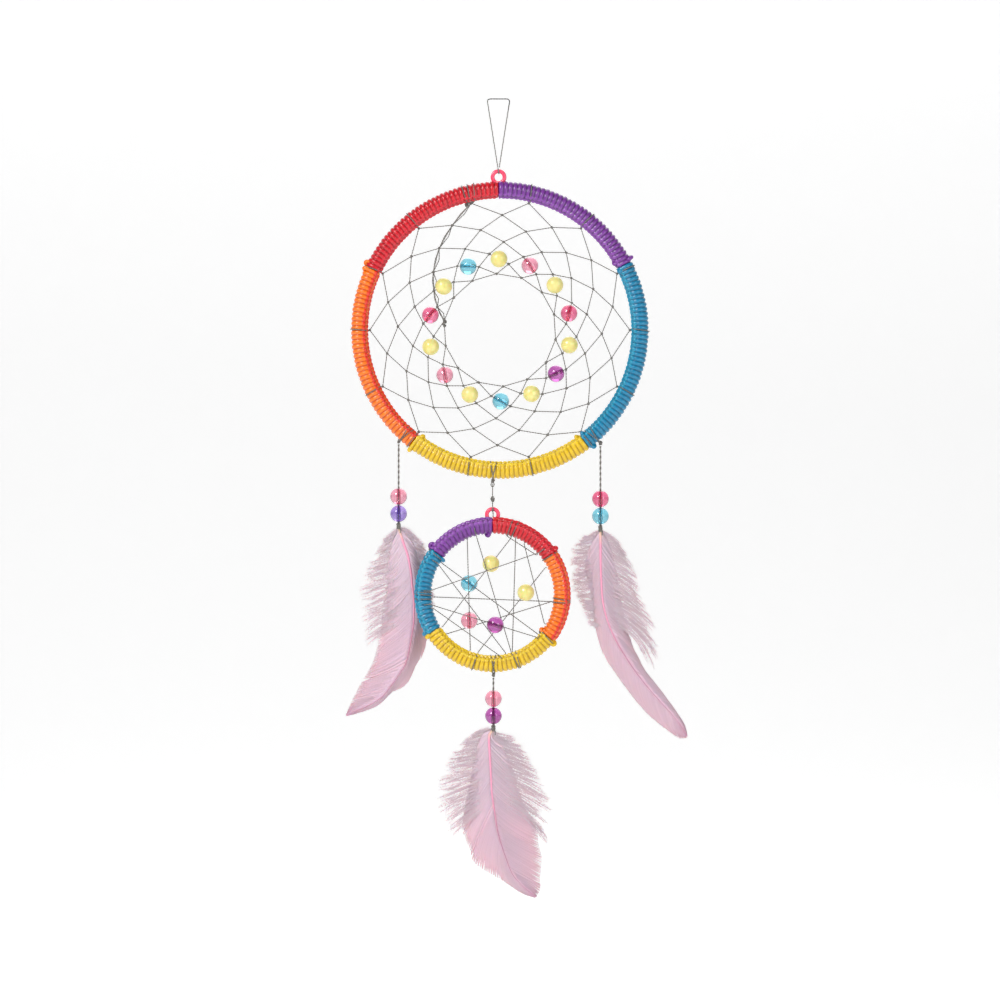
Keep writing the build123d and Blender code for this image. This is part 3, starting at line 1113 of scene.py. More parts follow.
# ------------------------------------------------------------------ webs
@dataclass
class NetWeb:
    """The large web: rounds of one thread knotted into a net, and its doubled return run.

    Attributes:
        hoop: The hoop it hangs in.
        meshes: Meshes to a round.
        first_row: The distance of the first row of knots from the hoop's middle.
        row_drops: How much nearer the middle each row is than the one before.
        row_turns: How far each row is turned, in degrees.
        depth: How far each round lies before or behind the middle plane.
        tail_mesh: The column of knots that the return run follows.
        beads: The beads' colours, in order.
    """

    hoop: WrappedHoop
    meshes: int = 14
    first_row: float = 61.12
    row_drops: tuple[float, ...] = (7.0, 6.2, 6.4, 5.4, 4.8, 4.8)
    row_turns: tuple[float, ...] = (0.0, 1.2, 2.0, 2.5, 5.0, 7.5, 9.5)
    depth: float = 0.3
    tail_mesh: int = 4
    beads: tuple[str, ...] = ("pink", "yellow", "aqua", "yellow", "rose", "yellow", "pink",
                              "yellow", "aqua", "yellow", "purple", "yellow", "rose", "yellow")

    def knot(self, row: int, mesh: Array | int, depth: float = 0.0) -> Array:
        """A knot: its row gives its distance, and its mesh plus half its row gives its angle."""
        reach = self.first_row - sum(self.row_drops[:row])
        angle = 360 / self.meshes * (np.asarray(mesh) + row / 2) - self.row_turns[row]
        return self.hoop.at(reach, angle, depth)

    def round_line(self, row: int) -> Array:
        """The closed zigzag of one round, as the ends of its runs.

        Args:
            row: The round's row of outer knots; the last row is a plain circle of runs.

        Returns:
            Points of shape (count, 3), with the first repeated at the end.
        """
        depth = self.depth if row % 2 else -self.depth
        mesh = np.arange(self.meshes)
        outer = self.knot(row, mesh, depth)
        if row < len(self.row_drops):
            inner = self.knot(row + 1, mesh, depth)
            outer = np.stack([outer, inner], 1).reshape(-1, 3)
        return np.concatenate([outer, outer[:1]])

    def build(self) -> None:
        """String the rounds, tie the knots, run the tail back and thread the beads."""
        rows = len(self.row_drops)
        threads = []
        for row in range(rows + 1):
            line = along(self.round_line(row), WEB_THREAD.spacing)[:-1]
            threads.append(WEB_THREAD.run(line, looped=True))
        places = np.concatenate([self.knot(r, np.arange(self.meshes)) for r in range(rows + 1)])
        threads.append(WEB_THREAD.knots(places, 1.5, 3))
        tail = np.array([self.knot(r, self.tail_mesh, 3 * self.depth) for r in range(rows + 1)])
        swung = np.empty((2 * len(tail) - 1, 3))
        for slack in (1.4, -0.5):
            swung[::2] = tail
            swung[1::2] = (tail[:-1] + tail[1:]) / 2 + [slack, -0.1 * slack, 0.2]
            threads.append(WEB_THREAD.run(along(swung, WEB_THREAD.spacing)))
        threads.append(WEB_THREAD.knots(tail[:-1], 1.7, 8))
        cluster = shifted_by(self.knot(rows, self.tail_mesh), [
            (0.0, -0.5, 0.7), (0.5, 0.3, -0.5), (-0.3, -0.4, -1.5), (0.2, 0.2, -2.3)])
        threads.append(WEB_THREAD.knots(cluster, 2.0, 5))
        add_piece("web_net", threads, THREAD, "large_hoop", ["large_web"])
        self.build_hitches()
        for number, colour in enumerate(self.beads, start=1):
            mesh = number - 1
            start, end = self.knot(4, mesh + 1), self.knot(5, mesh)
            Bead(f"web_bead_{number:02d}", colour, end - start).build()

    def build_hitches(self) -> None:
        """Turn the thread over the wraps at each outer knot, and tie its start and loose end."""
        angles = 360 / self.meshes * np.arange(self.meshes)
        turns = self.hoop.hitches(angles, WEB_THREAD, 4)
        start = float(angles[self.tail_mesh])
        turns += self.hoop.hitches([start - 2.3, start + 1.9], WEB_THREAD, 9)
        foot = self.knot(0, self.tail_mesh)
        lumps = shifted_by(foot, [(-1.2, -0.4, 0.4), (-2.1, 0.2, -0.7), (0.9, -0.3, 0.9)])
        turns.append(WEB_THREAD.knots(lumps, 2.0, 6))
        end = shifted_by(foot, [(1.2, -0.5, 1.0), (5.0, -0.9, 1.9), (9.6, -0.7, 2.4)])
        turns.append(WEB_THREAD.run(along(end, WEB_THREAD.spacing)))
        add_piece("web_net_turns", turns, THREAD, "large_hoop", ["large_web_hitches"])


@dataclass(frozen=True)
class Chord:
    """A straight run of thread across the small hoop.

    Attributes:
        start: The angle where it starts.
        end: The angle where it ends.
        start_depth: Its depth behind the middle plane there.
        end_depth: Its depth at the other end.
    """

    start: float
    end: float
    start_depth: float
    end_depth: float


@dataclass
class ChordWeb:
    """The small web: straight chords with turns over the wraps, and five beads.

    Attributes:
        hoop: The hoop it hangs in.
        chords: The chords.
        beads: Beads as (chord, colour).
        turns: Where the thread goes over the wraps.
        doubled: Where a second turn lies beside the first.
        reach: The radius, round the ring's centre-line, on which a chord's straight run ends.
        turn_reach: The radius on which the chord goes on to the turn over the wraps.
        seat: How deep on that radius the outermost chord may lie.
    """

    hoop: WrappedHoop
    chords: tuple[Chord, ...] = (
        Chord(75.6, 42.0, -2.4, 1.2), Chord(72.0, 212.5, 1.8, -0.6),
        Chord(42.0, 176.7, -4.2, -4.2), Chord(114.5, 248.0, -3.0, 1.8),
        Chord(105.5, 288.0, -4.2, 0.6), Chord(67.7, 289.4, 3.0, 1.8),
        Chord(58.5, 331.0, -2.4, -1.2), Chord(27.0, 256.0, -0.6, 1.2),
        Chord(148.0, 319.0, 4.2, 4.2), Chord(150.0, 282.4, -4.2, -1.2),
        Chord(182.3, 353.4, 1.2, 4.2), Chord(353.4, 219.5, 2.4, 4.2),
        Chord(188.5, 316.0, -4.2, -3.0), Chord(192.6, 277.5, -3.0, -3.6),
    )
    beads: tuple[tuple[int, str], ...] = (
        (1, "yellow"), (3, "pink"), (7, "yellow"), (8, "aqua"), (12, "purple"),
    )
    turns: tuple[float, ...] = (34.0, 71.0, 145.0, 180.0, 255.0, 289.0, 322.0, 356.0)
    doubled: tuple[float, ...] = (75.5, 178.0, 183.5, 291.5, 353.5)
    reach: float = 4.98
    turn_reach: float = 4.2
    seat: float = 4.1

    def end(self, angle: float, depth: float) -> Array:
        """The end of a chord, where its depth meets a circle a little outside the wraps."""
        inward = math.sqrt(self.reach**2 - depth**2)
        return self.hoop.at(self.hoop.radius - inward, angle, depth)

    def rim(self, angle: float, depth: float) -> Array:
        """The place on the wraps beyond a chord's end, on a circle of the turns' own radius."""
        inward = math.sqrt(max(0.0, self.turn_reach**2 - depth**2))
        place = depth * self.seat / self.turn_reach
        return self.hoop.at(self.hoop.radius - inward, angle, place)

    def build(self) -> None:
        """String the chords from wrap to wrap, turn the thread over, and thread the beads."""
        threads = []
        for chord in self.chords:
            start = self.rim(chord.start, chord.start_depth)
            end = self.rim(chord.end, chord.end_depth)
            line = np.array([start, self.end(chord.start, chord.start_depth),
                             self.end(chord.end, chord.end_depth), end])
            threads.append(WEB_THREAD.run(along(line, WEB_THREAD.spacing)))
        add_piece("chord_web", threads, THREAD, "small_hoop", ["small_web"])
        turns = self.hoop.hitches((*self.turns, *self.doubled), WEB_THREAD, 7)
        foot = self.hoop.at(self.hoop.radius - 4.3, 322.0, -1.6)
        turns.append(WEB_THREAD.knots(np.array([foot]), 1.6, 2))
        loose = shifted_by(foot, [(0.0, -0.3, 0.0), (-0.6, -1.0, -3.0), (0.8, -1.2, -6.0)])
        turns.append(WEB_THREAD.run(along(loose, WEB_THREAD.spacing)))
        add_piece("chord_web_turns", turns, THREAD, "small_hoop", ["small_web_hitches"])
        for number, (chord, colour) in enumerate(self.beads, start=1):
            held = self.chords[chord]
            line = self.end(held.end, held.end_depth) - self.end(held.start, held.start_depth)
            Bead(f"small_web_bead_{number}", colour, line).build()


# ------------------------------------------------------------------ beads
@dataclass
class Bead:
    """A round bead on a thread.

    Attributes:
        node: The CAD node and body it stands for.
        colour: Its colour's name.
        line: The direction of its bore.
        diameter: Its diameter.
        bore: Its bore's diameter.
        lip: The radius of the rounding at the bore's mouth.
        sides: Steps round the bore.
    """

    node: str
    colour: str
    line: Array
    diameter: float = 8.0
    bore: float = 1.6
    lip: float = 0.22
    sides: int = 40

    def outline(self) -> Array:
        """Half the bead's section, as a closed line of (distance from the bore's axis, height).

        It is an arc of the ball from mouth to mouth, a quarter circle at each mouth, and a
        straight wall back along the bore.

        Returns:
            Points of shape (count, 2), counter-clockwise.
        """
        half = self.diameter / 2
        mouth = math.asin((self.bore / 2 + self.lip) / half)
        t = np.linspace(mouth, np.pi - mouth, 26)[::-1]
        ball = np.stack([half * np.sin(t), half * np.cos(t)], -1)
        top = math.cos(mouth) * half
        turn = np.radians([72.0, 45.0, 18.0])
        lip_x = self.bore / 2 + self.lip - self.lip * np.cos(turn[::-1])
        lip_z = top - self.lip + self.lip * np.sin(turn[::-1])
        upper = np.stack([lip_x[::-1], lip_z[::-1]], -1)
        wall_z = np.linspace(top - self.lip, self.lip - top, 5)
        wall = np.stack([np.full(len(wall_z), self.bore / 2), wall_z], -1)
        lower = np.stack([lip_x, -lip_z], -1)
        return np.concatenate([ball, upper, wall, lower])

    def build(self) -> None:
        """Spin the outline about the bore, in as many steps as its sides have."""
        centre = middle(self.node)
        axis = unit(self.line)
        first = unit(np.cross(axis, FRONT + 0.01 * UP))
        second = np.cross(axis, first)
        section = self.outline()
        angle = rounds(self.sides)
        spoke = np.cos(angle)[:, None] * first + np.sin(angle)[:, None] * second
        rings = centre + spoke[:, None] * section[None, :, :1] + axis * section[None, :, 1:]
        surface = Surface.tube(rings[None, ::-1], looped=True)
        add_piece(f"{self.node}_ball", surface, BEADS[self.colour], self.node, [self.node])


# ------------------------------------------------------------------ hanging loop and link
@dataclass
class HangingLoop:
    """The loop of thread that the object hangs from, and its turn round the eyelet's rim.

    Attributes:
        route: The loop's route from foot to foot, in its plane; the points beside the corners
            keep its long stretches straight.
        length: The loop's real length; not used.
        dark_from: The share of the length where the shaded stretch starts.
        dark_to: The share where it ends.
    """

    route: tuple[Point, ...] = (
        (-0.35, -32.2), (-2.4, -18.9), (-4.86, -3.4), (-5.4, 0.0), (-1.9, 0.0), (1.9, 0.0),
        (5.4, 0.0), (4.86, -3.4), (2.4, -18.9), (0.35, -32.2),
    )
    length: float = 74.5
    dark_from: float = 0.42
    dark_to: float = 0.63

    def build(self) -> None:
        """Twist the loop along its route and wind the turn that it hangs by."""
        line = nurbs([(x, 0.0, z) for x, z in self.route])
        fine = along(line, LOOP_THREAD.spacing)
        share = np.linspace(0, 1, len(fine))
        dark = ((share > self.dark_from) & (share < self.dark_to)).astype(float) * 0.92
        piece = add_piece("hanging_loop_thread", LOOP_THREAD.run(fine, FRONT, dark=dark), THREAD,
                          "hanger", ["hanging_loop"])
        centre = middle("loop_hitch")
        turn = LOOP_THREAD.ring(centre, 1.32, ACROSS, skew=0.22)
        add_piece("loop_turn", turn, THREAD, "loop_hitch", ["loop_hitch"])


@dataclass
class Link:
    """The short thread between the hoops, and the ties round the large hoop's wraps.

    Attributes:
        large: The large hoop.
        small: The small hoop.
        knot: The diameter of the upper knots.
    """

    large: WrappedHoop
    small: WrappedHoop
    knot: float = 1.9

    def tie(self, hoop: WrappedHoop, knot: Array, seed: int) -> list[Surface]:
        """Two leaning turns of thread round the wraps that meet in a knot under the hoop.

        Args:
            hoop: The hoop.
            knot: The knot's middle.
            seed: The start of the knot's random turn.

        Returns:
            The turns and the knot.
        """
        out = knot - hoop.centre
        angle = math.degrees(math.atan2(out[2], out[0]))
        reach = hoop.core + hoop.cord / 2 + 0.2
        turns = [TIE_THREAD.ring(hoop.at(hoop.radius, angle + shift), reach, hoop.tangent(angle),
                                 skew=lean) for shift, lean in ((-0.5, 0.95), (0.55, -0.8))]
        places = np.array([knot, knot + [0.2, -0.2, 0.7]])
        return [*turns, TIE_THREAD.knots(places, self.knot, seed)]

    def build(self) -> None:
        """Tie the large hoop's three ties, and hang the link from the middle one."""
        places = [pivot("left_strand_swing"), pivot("link_swing"), pivot("right_strand_swing")]
        ties = [part for n, place in enumerate(places) for part in self.tie(self.large, place, n)]
        add_piece("large_hoop_ties", ties, THREAD, "large_hoop", ["large_ties"])
        top, foot = pivot("link_swing"), middle("link_knot")
        run = np.array([top - 0.9 * UP, foot + 0.9 * UP])
        loop = TIE_THREAD.ring(top - 1.3 * UP, 0.75, FRONT, 1.5)
        thread = [TIE_THREAD.run(along(run, 0.3)), loop]
        add_piece("link_run", thread, THREAD, "link", ["link_thread"])
        lumps = shifted_by(foot, [(0.15, -0.1, -0.3), (-0.1, 0.1, 0.5)])
        eye = TIE_THREAD.ring(foot + 0.6 * UP, 0.8, FRONT, 1.45)
        parts = [TIE_THREAD.knots(lumps, 1.8, 8), eye]
        add_piece("link_lower_knot", parts, THREAD, "link_knot", ["link_knot"])
        self.build_bight()

    def build_bight(self) -> None:
        """Pass the link's lower bight round the small eyelet's rim, with its loose end inside."""
        low, high = corners("link_bight")
        centre, half = (low + high) / 2, (high - low) / 2
        deep, tall = half[1:] - TIE_THREAD.diameter / 2
        bight = TIE_THREAD.ring(centre, deep, ACROSS, tall / deep)
        end = shifted_by(centre, [(0.15, -1.2, -1.6), (0.3, -1.35, -3.0), (0.2, -1.2, -4.9)])
        parts = [bight, TIE_THREAD.run(along(end, 0.3)),
                 TIE_THREAD.knots(shifted_by(centre, [(0.1, -1.3, -0.9)]), 1.4, 4)]
        add_piece("link_bight_thread", parts, THREAD, "small_hoop", ["link_bight"])
        tail = self.tie(self.small, pivot("tail_strand_swing"), 11)
        add_piece("tail_hoop_tie", tail, THREAD, "small_hoop", ["tail_tie"])


# ------------------------------------------------------------------ feathers
def picked(line: Array, share: Array) -> Array:
    """The points that lie at the given shares of a line."""
    return line[(share * (len(line) - 1)).astype(int)]


def bowed(root: Array, bend: Array, end: Array, t: Array) -> Array:
    """The quadratic curves from the roots, drawn towards the bends, to the ends."""
    return (1 - t) ** 2 * root[:, None] + 2 * t * (1 - t) * bend[:, None] + t**2 * end[:, None]


@dataclass
class Feather:
    """A feather: a tapering quill, a vane of barbs laid side by side, and loose down.

    Attributes:
        side: The strand it hangs on.
        tilt: How far its plane leans back, in degrees.
        quill: The quill's line, measured from the knot in the feather's plane.
        left: The left edge of the vane, from the base to the tip.
        right: The right edge.
        left_down: The reach of the down on the left.
        right_down: The reach of the down on the right.
        splits: Openings in the vane as (side, place along the quill, share of the quill).
        barbs: Barbs to a side.
        downs: Plumes of down to a side.
        downy: The share of the quill, from its base, that bears the down.
        barb_bend: How far a barb's middle point lies out from the quill and down it, as
            shares of the barb's reach.
        plume_bend: The same for a plume of down.
        hairs_each: The hairs that stand on each side of a plume.
        hair_lengths: The shortest and the longest hair, in millimetres.
        hair_radii: A hair's radius at its root, its middle and its end.
        cup: How far the vane curls back, in millimetres.
        cup_at: How far from the quill it curls back so far.
    """

    side: Side
    tilt: float
    quill: tuple[Point, ...]
    left: tuple[Point, ...]
    right: tuple[Point, ...]
    left_down: tuple[Point, ...]
    right_down: tuple[Point, ...]
    splits: tuple[tuple[Edge, float, float], ...] = ()
    barbs: int = 190
    downs: int = 150
    downy: float = 0.42
    barb_bend: Point = (0.25, 0.34)
    plume_bend: Point = (0.42, 0.16)
    hairs_each: int = 15
    hair_lengths: Point = (0.9, 2.3)
    hair_radii: tuple[float, float, float] = (0.08, 0.062, 0.025)
    cup: float = 1.6
    cup_at: float = 14.0

    def lifted(self, flat: Array, depth: Array | float) -> Array:
        """Stand the feather's flat points in space.

        The plane's x stays across, its y leans back by the tilt as it rises, and a depth goes
        along the plane's own back.

        Args:
            flat: Points of shape (..., 2).
            depth: Their distance behind the plane.

        Returns:
            Points of shape (..., 3).
        """
        back = math.radians(self.tilt)
        up = np.array([0.0, -math.sin(back), math.cos(back)])
        away = np.array([0.0, math.cos(back), math.sin(back)])
        place = flat[..., :1] * ACROSS + flat[..., 1:] * up
        return middle(f"{self.side.value}_knot") + place + np.asarray(depth)[..., None] * away

    def rooted(self, edge: Edge, share: Array) -> tuple[Array, Array, Array]:
        """The places at shares of the quill, and the directions down it and out to a side."""
        line = smooth_line(self.quill, STATIONS)
        ahead = picked(unit(np.gradient(line, axis=0)), share)
        return picked(line, share), ahead, np.stack([-ahead[:, 1], ahead[:, 0]], -1) * edge.value

    def shaft(self) -> Surface:
        """Carry a narrowing round section down the quill's line.

        The radius falls from six tenths to a tenth of a millimetre as the way left to go to the
        power of one and a half.

        Returns:
            The quill's surface, with the share of its length at each point.
        """
        line = smooth_line(self.quill, 60)
        share = np.linspace(0, 1, len(line))
        path = self.lifted(line, np.zeros(len(line)))
        size = 0.1 + 0.5 * (1 - share) ** 1.5
        rings = carried(path[None], oval(10, 1.0, 0.9), FRONT, 0.0, size[None])
        return Surface.tube(rings, False, 12.0, {"dye": share[None, :, None]})

    def vane(self, edge: Edge, rng: np.random.Generator) -> Surface:
        """Lay the barbs of one side.

        A barb leaves the quill at a narrow angle and runs down to its place on the edge: it is
        the quadratic curve of its root, a middle point out and down, and its end. The barbs at
        the base end short and uneven, and lower down their ends make a closed edge. A barb's
        section is a flat diamond, turned a little so that it lies over its neighbour, and it
        narrows at its end. The vane curls back with the square of the distance from the quill.

        Args:
            edge: Which side.
            rng: The source of the barbs' small differences.

        Returns:
            The barbs' surface.
        """
        rim = smooth_line(self.left if edge is Edge.LEFT else self.right, STATIONS)
        share = np.linspace(0.015, 0.985, self.barbs)
        open_here = np.zeros(len(share), bool)
        for side, place, width in self.splits:
            if side is edge:
                open_here |= np.abs(share - place) < width / 2
        share = share[~open_here]
        root, ahead, out = self.rooted(edge, share)
        landing = 1 - 0.9 * (1 - share) ** 1.6 + rng.normal(0, 0.002, len(share))
        end = picked(rim, np.clip(landing, 0, 1))
        reach = np.linalg.norm(end - root, axis=1, keepdims=True)
        loose = np.clip(1 - share[:, None] / self.downy, 0, 1)
        short = rng.uniform(-0.22, 0.0, (len(share), 1)) * loose + rng.uniform(
            -0.012, 0.008, (len(share), 1))
        end = end + (end - root) * short
        bend = root + reach * (self.barb_bend[0] * out + self.barb_bend[1] * ahead)
        t = np.linspace(0, 1, 9)[None, :]
        flat = bowed(root, bend, end, t[..., None])
        gone = np.linalg.norm(flat - root[:, None], axis=-1)
        depth = self.cup * (gone / self.cup_at) ** 2 + rng.normal(0, 0.05, (len(share), 1)) * t
        path = self.lifted(flat, depth)
        spacing = np.linalg.norm(np.gradient(root, axis=0), axis=1)
        end_gap = np.linalg.norm(np.gradient(end, axis=0), axis=1)
        wide = spacing[:, None] * (1 - t) + np.clip(end_gap, 0.2, 1.4)[:, None] * t
        wide = wide * 0.72 * (1 - 0.85 * t**6) + 0.04
        rings = carried(path, oval(4, 1.0, 0.09), FRONT, 0.11 * edge.value, wide)
        # darker towards the tip and the barbs' ends: partly the dye, partly painted shade of the
        # vane's curl
        dye = np.clip(share[:, None] ** 2 * 0.9 + 0.2 * t**3 * share[:, None], 0, 1)
        dye = dye * 0.8 + 0.2
        streak = rng.uniform(0, 1, len(share))[:, None, None]
        return Surface.tube(rings, values={"dye": dye[..., None], "streak": streak})

    def down(self, edge: Edge, rng: np.random.Generator) -> list[Surface]:
        """Grow the loose down of one side.

        A plume is a thin barb that waves: the same quadratic curve as a vane's barb, to a place
        near the down's reach, plus a sine wave across it and out of the plane. It lies behind the
        vane, whose curl it follows. Fine hairs stand along both sides of every plume.

        Args:
            edge: Which side.
            rng: The source of their differences.

        Returns:
            The plumes and their hairs.
        """
        rim = smooth_line(self.left_down if edge is Edge.LEFT else self.right_down, STATIONS)
        order = np.clip(np.linspace(0, 1, self.downs) + rng.normal(0, 0.006, self.downs), 0, 1)
        root, ahead, out = self.rooted(edge, order * self.downy)
        landing = 0.14 + 0.86 * order + rng.normal(0, 0.02, len(order))
        end = picked(rim, np.clip(landing, 0, 1))
        span = rng.uniform(0.8, 1.14, (len(order), 1))
        end = root + (end - root) * span
        reach = np.linalg.norm(end - root, axis=1, keepdims=True)
        bend = root + reach * (self.plume_bend[0] * out + self.plume_bend[1] * ahead)
        t = np.linspace(0, 1, 12)[None, :]
        flat = bowed(root, bend, end, t[..., None])
        phase = rng.uniform(0, 2 * np.pi, (len(order), 1))
        wave = np.sin(t * rng.uniform(4, 9, (len(order), 1)) + phase) * t
        flat = flat + ahead[:, None] * (wave * rng.uniform(0.2, 0.9, (len(order), 1)))[..., None]
        gone = np.linalg.norm(flat - root[:, None], axis=-1)
        behind = np.abs(rng.normal(0, 1.4, (len(order), 1)))
        depth = 0.35 + self.cup * (gone / self.cup_at) ** 2 + (behind + 0.4 * wave) * t
        path = self.lifted(flat, depth)
        size = 0.17 * (1 - 0.45 * t) + 0.02
        rings = carried(path, oval(4, 1.0, 0.5), FRONT, 0.0, size)
        dye = np.broadcast_to(0.12 * (1 - t), path.shape[:2])[..., None]
        streak = rng.uniform(0, 1, len(order))[:, None, None]
        plumes = Surface.tube(rings, values={"dye": dye, "streak": streak})
        return [plumes, self.hairs(path, rng)]

    def hairs(self, plumes: Array, rng: np.random.Generator) -> Surface:
        """Stand fine hairs along both sides of each plume.

        A hair starts on the plume and runs straight, leaning forward from the plume's side, with
        a small lift out of the plane.

        Args:
            plumes: The plumes' lines, of shape (plumes, count, 3).
            rng: The source of their differences.

        Returns:
            The hairs' surface.
        """
        last = plumes.shape[1] - 1
        where = np.linspace(0.12, 1.0, self.hairs_each)
        index = (where * last).astype(int)
        share = where * last - index
        after = np.minimum(index + 1, last)
        start = plumes[:, index] * (1 - share[:, None]) + plumes[:, after] * share[:, None]
        ahead = unit(np.gradient(plumes, axis=1))[:, index]
        side = unit(np.cross(ahead, FRONT))
        made = []
        for sign in (-1.0, 1.0):
            length = rng.uniform(*self.hair_lengths, start.shape[:2])[..., None]
            lift = rng.normal(0, 0.35, start.shape[:2])[..., None] * FRONT
            heading = unit(side * sign * rng.uniform(0.4, 1.0, length.shape) + ahead + lift)
            root = start.reshape(-1, 1, 3)
            reach = (heading * length).reshape(-1, 1, 3)
            bow = FRONT * rng.normal(0, 0.12, (len(root), 1, 1))
            path = np.concatenate([root, root + reach * 0.55 + bow, root + reach], 1)
            size = np.array([self.hair_radii])
            rings = carried(path, oval(3, 1.0, 1.0), FRONT + 0.02 * UP, 0.0, size)
            made.append(Surface.tube(rings, values={"streak": np.full((1, 1, 1), 0.8)}))
        return Surface.joined(made)

    def build(self) -> None:
        """Grow the quill, the vane and the down on the feather's body."""
        name, body = self.side.value, f"{self.side.value}_feather"
        rng = np.random.default_rng(len(name) * 7)
        add_piece(f"{name}_quill_shaft", self.shaft(), QUILL, body, [f"{name}_quill"])
        parts = [self.vane(edge, rng) for edge in Edge]
        add_piece(f"{name}_vane_barbs", parts, VANE, body, [f"{name}_vane"])
        loose = [part for edge in Edge for part in self.down(edge, rng)]
        add_piece(f"{name}_down", loose, VANE, body)


@dataclass
class Strand:
    """A hanging strand: its doubled thread, two beads, the knot under them, and its feather.

    Attributes:
        side: Which strand.
        upper: The upper bead's colour.
        lower: The lower bead's colour.
        feather: Its feather.
    """

    side: Side
    upper: str
    lower: str
    feather: Feather

    def build(self) -> None:
        """Hang the thread, thread the beads, tie the knot and fasten the feather."""
        name = self.side.value
        low, high = corners(f"{name}_thread")
        across = (low + high) / 2
        stations = np.linspace(high[2], low[2], 5)
        line = nurbs([(across[0], across[1], z) for z in stations])
        surface = STRAND_THREAD.run(along(line, STRAND_THREAD.spacing))
        piece = add_piece(f"{name}_strand_thread", surface, THREAD, f"{name}_strand",
                          [f"{name}_thread"])
        Bead(f"{name}_upper_bead", self.upper, UP).build()
        Bead(f"{name}_lower_bead", self.lower, UP).build()
        self.build_knot()
        self.feather.build()

    def build_knot(self) -> None:
        """Tie the knot that holds the beads and binds the quill, with a short loose end."""
        name = self.side.value
        place = middle(f"{name}_knot")
        lumps = shifted_by(place, [(0.0, 0.0, 0.35), (0.15, -0.1, -0.3)])
        knots = TIE_THREAD.knots(lumps, 2.3, 13)
        binding = [TIE_THREAD.ring(place - drop * UP, 0.82, UP) for drop in (0.75, 1.25, 1.75)]
        end = shifted_by(place, [(0.5, -0.6, -0.9), (0.9, -0.8, -2.2), (0.8, -0.8, -3.8)])
        parts = [knots, *binding, TIE_THREAD.run(along(end, 0.3))]
        add_piece(f"{name}_knot_thread", parts, THREAD, f"{name}_feather", [f"{name}_knot"])


# ------------------------------------------------------------------ studio
@dataclass
class Studio:
    """A pale sheet, soft lights and the camera.

    Attributes:
        view_width: The width that the camera sees at the object, in metres.
        lens: The camera's lens, in millimetres.
        sensor: The width of the camera's sensor, in millimetres.
        centre: The middle of the view as (across, height), in metres.
    """

    view_width: float = 0.47
    lens: float = 135.0
    sensor: float = 36.0
    centre: Point = (0.0007, -0.1885)

    def build_camera(self) -> None:
        """Stand the camera in front, as far back as its lens needs for the view's width."""
        camera = bpy.data.cameras.new("camera")
        camera.lens, camera.sensor_width = self.lens, self.sensor
        camera.clip_start, camera.clip_end = 0.05, 20.0
        holder = bpy.data.objects.new("camera", camera)
        away = self.view_width * self.lens / self.sensor
        holder.location = (self.centre[0], -away, self.centre[1])
        holder.rotation_euler = (math.pi / 2, 0.0, 0.0)
        bpy.context.scene.collection.objects.link(holder)
        bpy.context.scene.camera = holder

    def build_sheet(self) -> None:
        """Lay the sheet: a floor under the object that turns up in a wide arc far behind it."""
        reach, near, far, floor, top, bend = 3.2, -3.0, 1.4, -0.46, 3.0, 0.8
        t = np.linspace(0, np.pi / 2, 24)
        arc = np.stack([far + bend * np.sin(t), floor + bend * (1 - np.cos(t))], -1)
        line = np.concatenate([[[near, floor]], arc, [[far + bend, top]]])
        x = np.linspace(-reach, reach, 3)[:, None]
        points = np.stack(np.broadcast_arrays(x, line[:, 0], line[:, 1]), -1) / MM
        number = np.arange(points[..., 0].size).reshape(3, len(line))
        quads = np.stack([number[:-1, :-1], number[1:, :-1], number[1:, 1:], number[:-1, 1:]], -1)
        surface = Surface(points.reshape(-1, 3), quads.reshape(-1, 4),
                          np.zeros((quads.size // 4, 4, 2)), np.zeros((0, 3), int),
                          np.zeros((0, 3, 2)))
        sheet = surface.write("backdrop")
        sheet.data.materials.append(PAPER.material())

    def add_light(self, name: str, place: Colour, size: float, power: float) -> None:
        """Hang a square soft light that faces the object's middle.

        Args:
            name: The light's name.
            place: Where it hangs, in metres.
            size: The length of its side.
            power: Its power in watts.
        """
        light = bpy.data.lights.new(name, "AREA")
        light.shape, light.size, light.energy = "SQUARE", size, power
        holder = bpy.data.objects.new(name, light)
        target = np.array([self.centre[0], 0.0, self.centre[1]])
        back = np.array(place) - target
        holder.location = place
        side = unit(np.cross(UP, back))
        holder.rotation_euler = (
            math.acos(float(unit(back)[2])), 0.0, math.atan2(float(side[1]), float(side[0])))
        bpy.context.scene.collection.objects.link(holder)

    def build(self) -> None:
        """Set up the sheet, the lights, the pale surroundings and the camera."""
        self.build_sheet()
        self.build_camera()
        self.add_light("key", (-0.9, -1.1, 0.75), 0.6, 20.0)
        self.add_light("fill", (1.1, -1.2, 0.1), 0.9, 8.0)
        self.add_light("back", (0.1, 0.9, 0.9), 0.9, 5.0)
        world = bpy.data.worlds.new("surroundings")
        world.use_nodes = True
        shade = world.node_tree.nodes["Background"]
        shade.inputs["Color"].default_value = (*WHITE, 1.0)
        shade.inputs["Strength"].default_value = 0.3
        bpy.context.scene.world = world
        bpy.context.scene.view_settings.view_transform = "Standard"


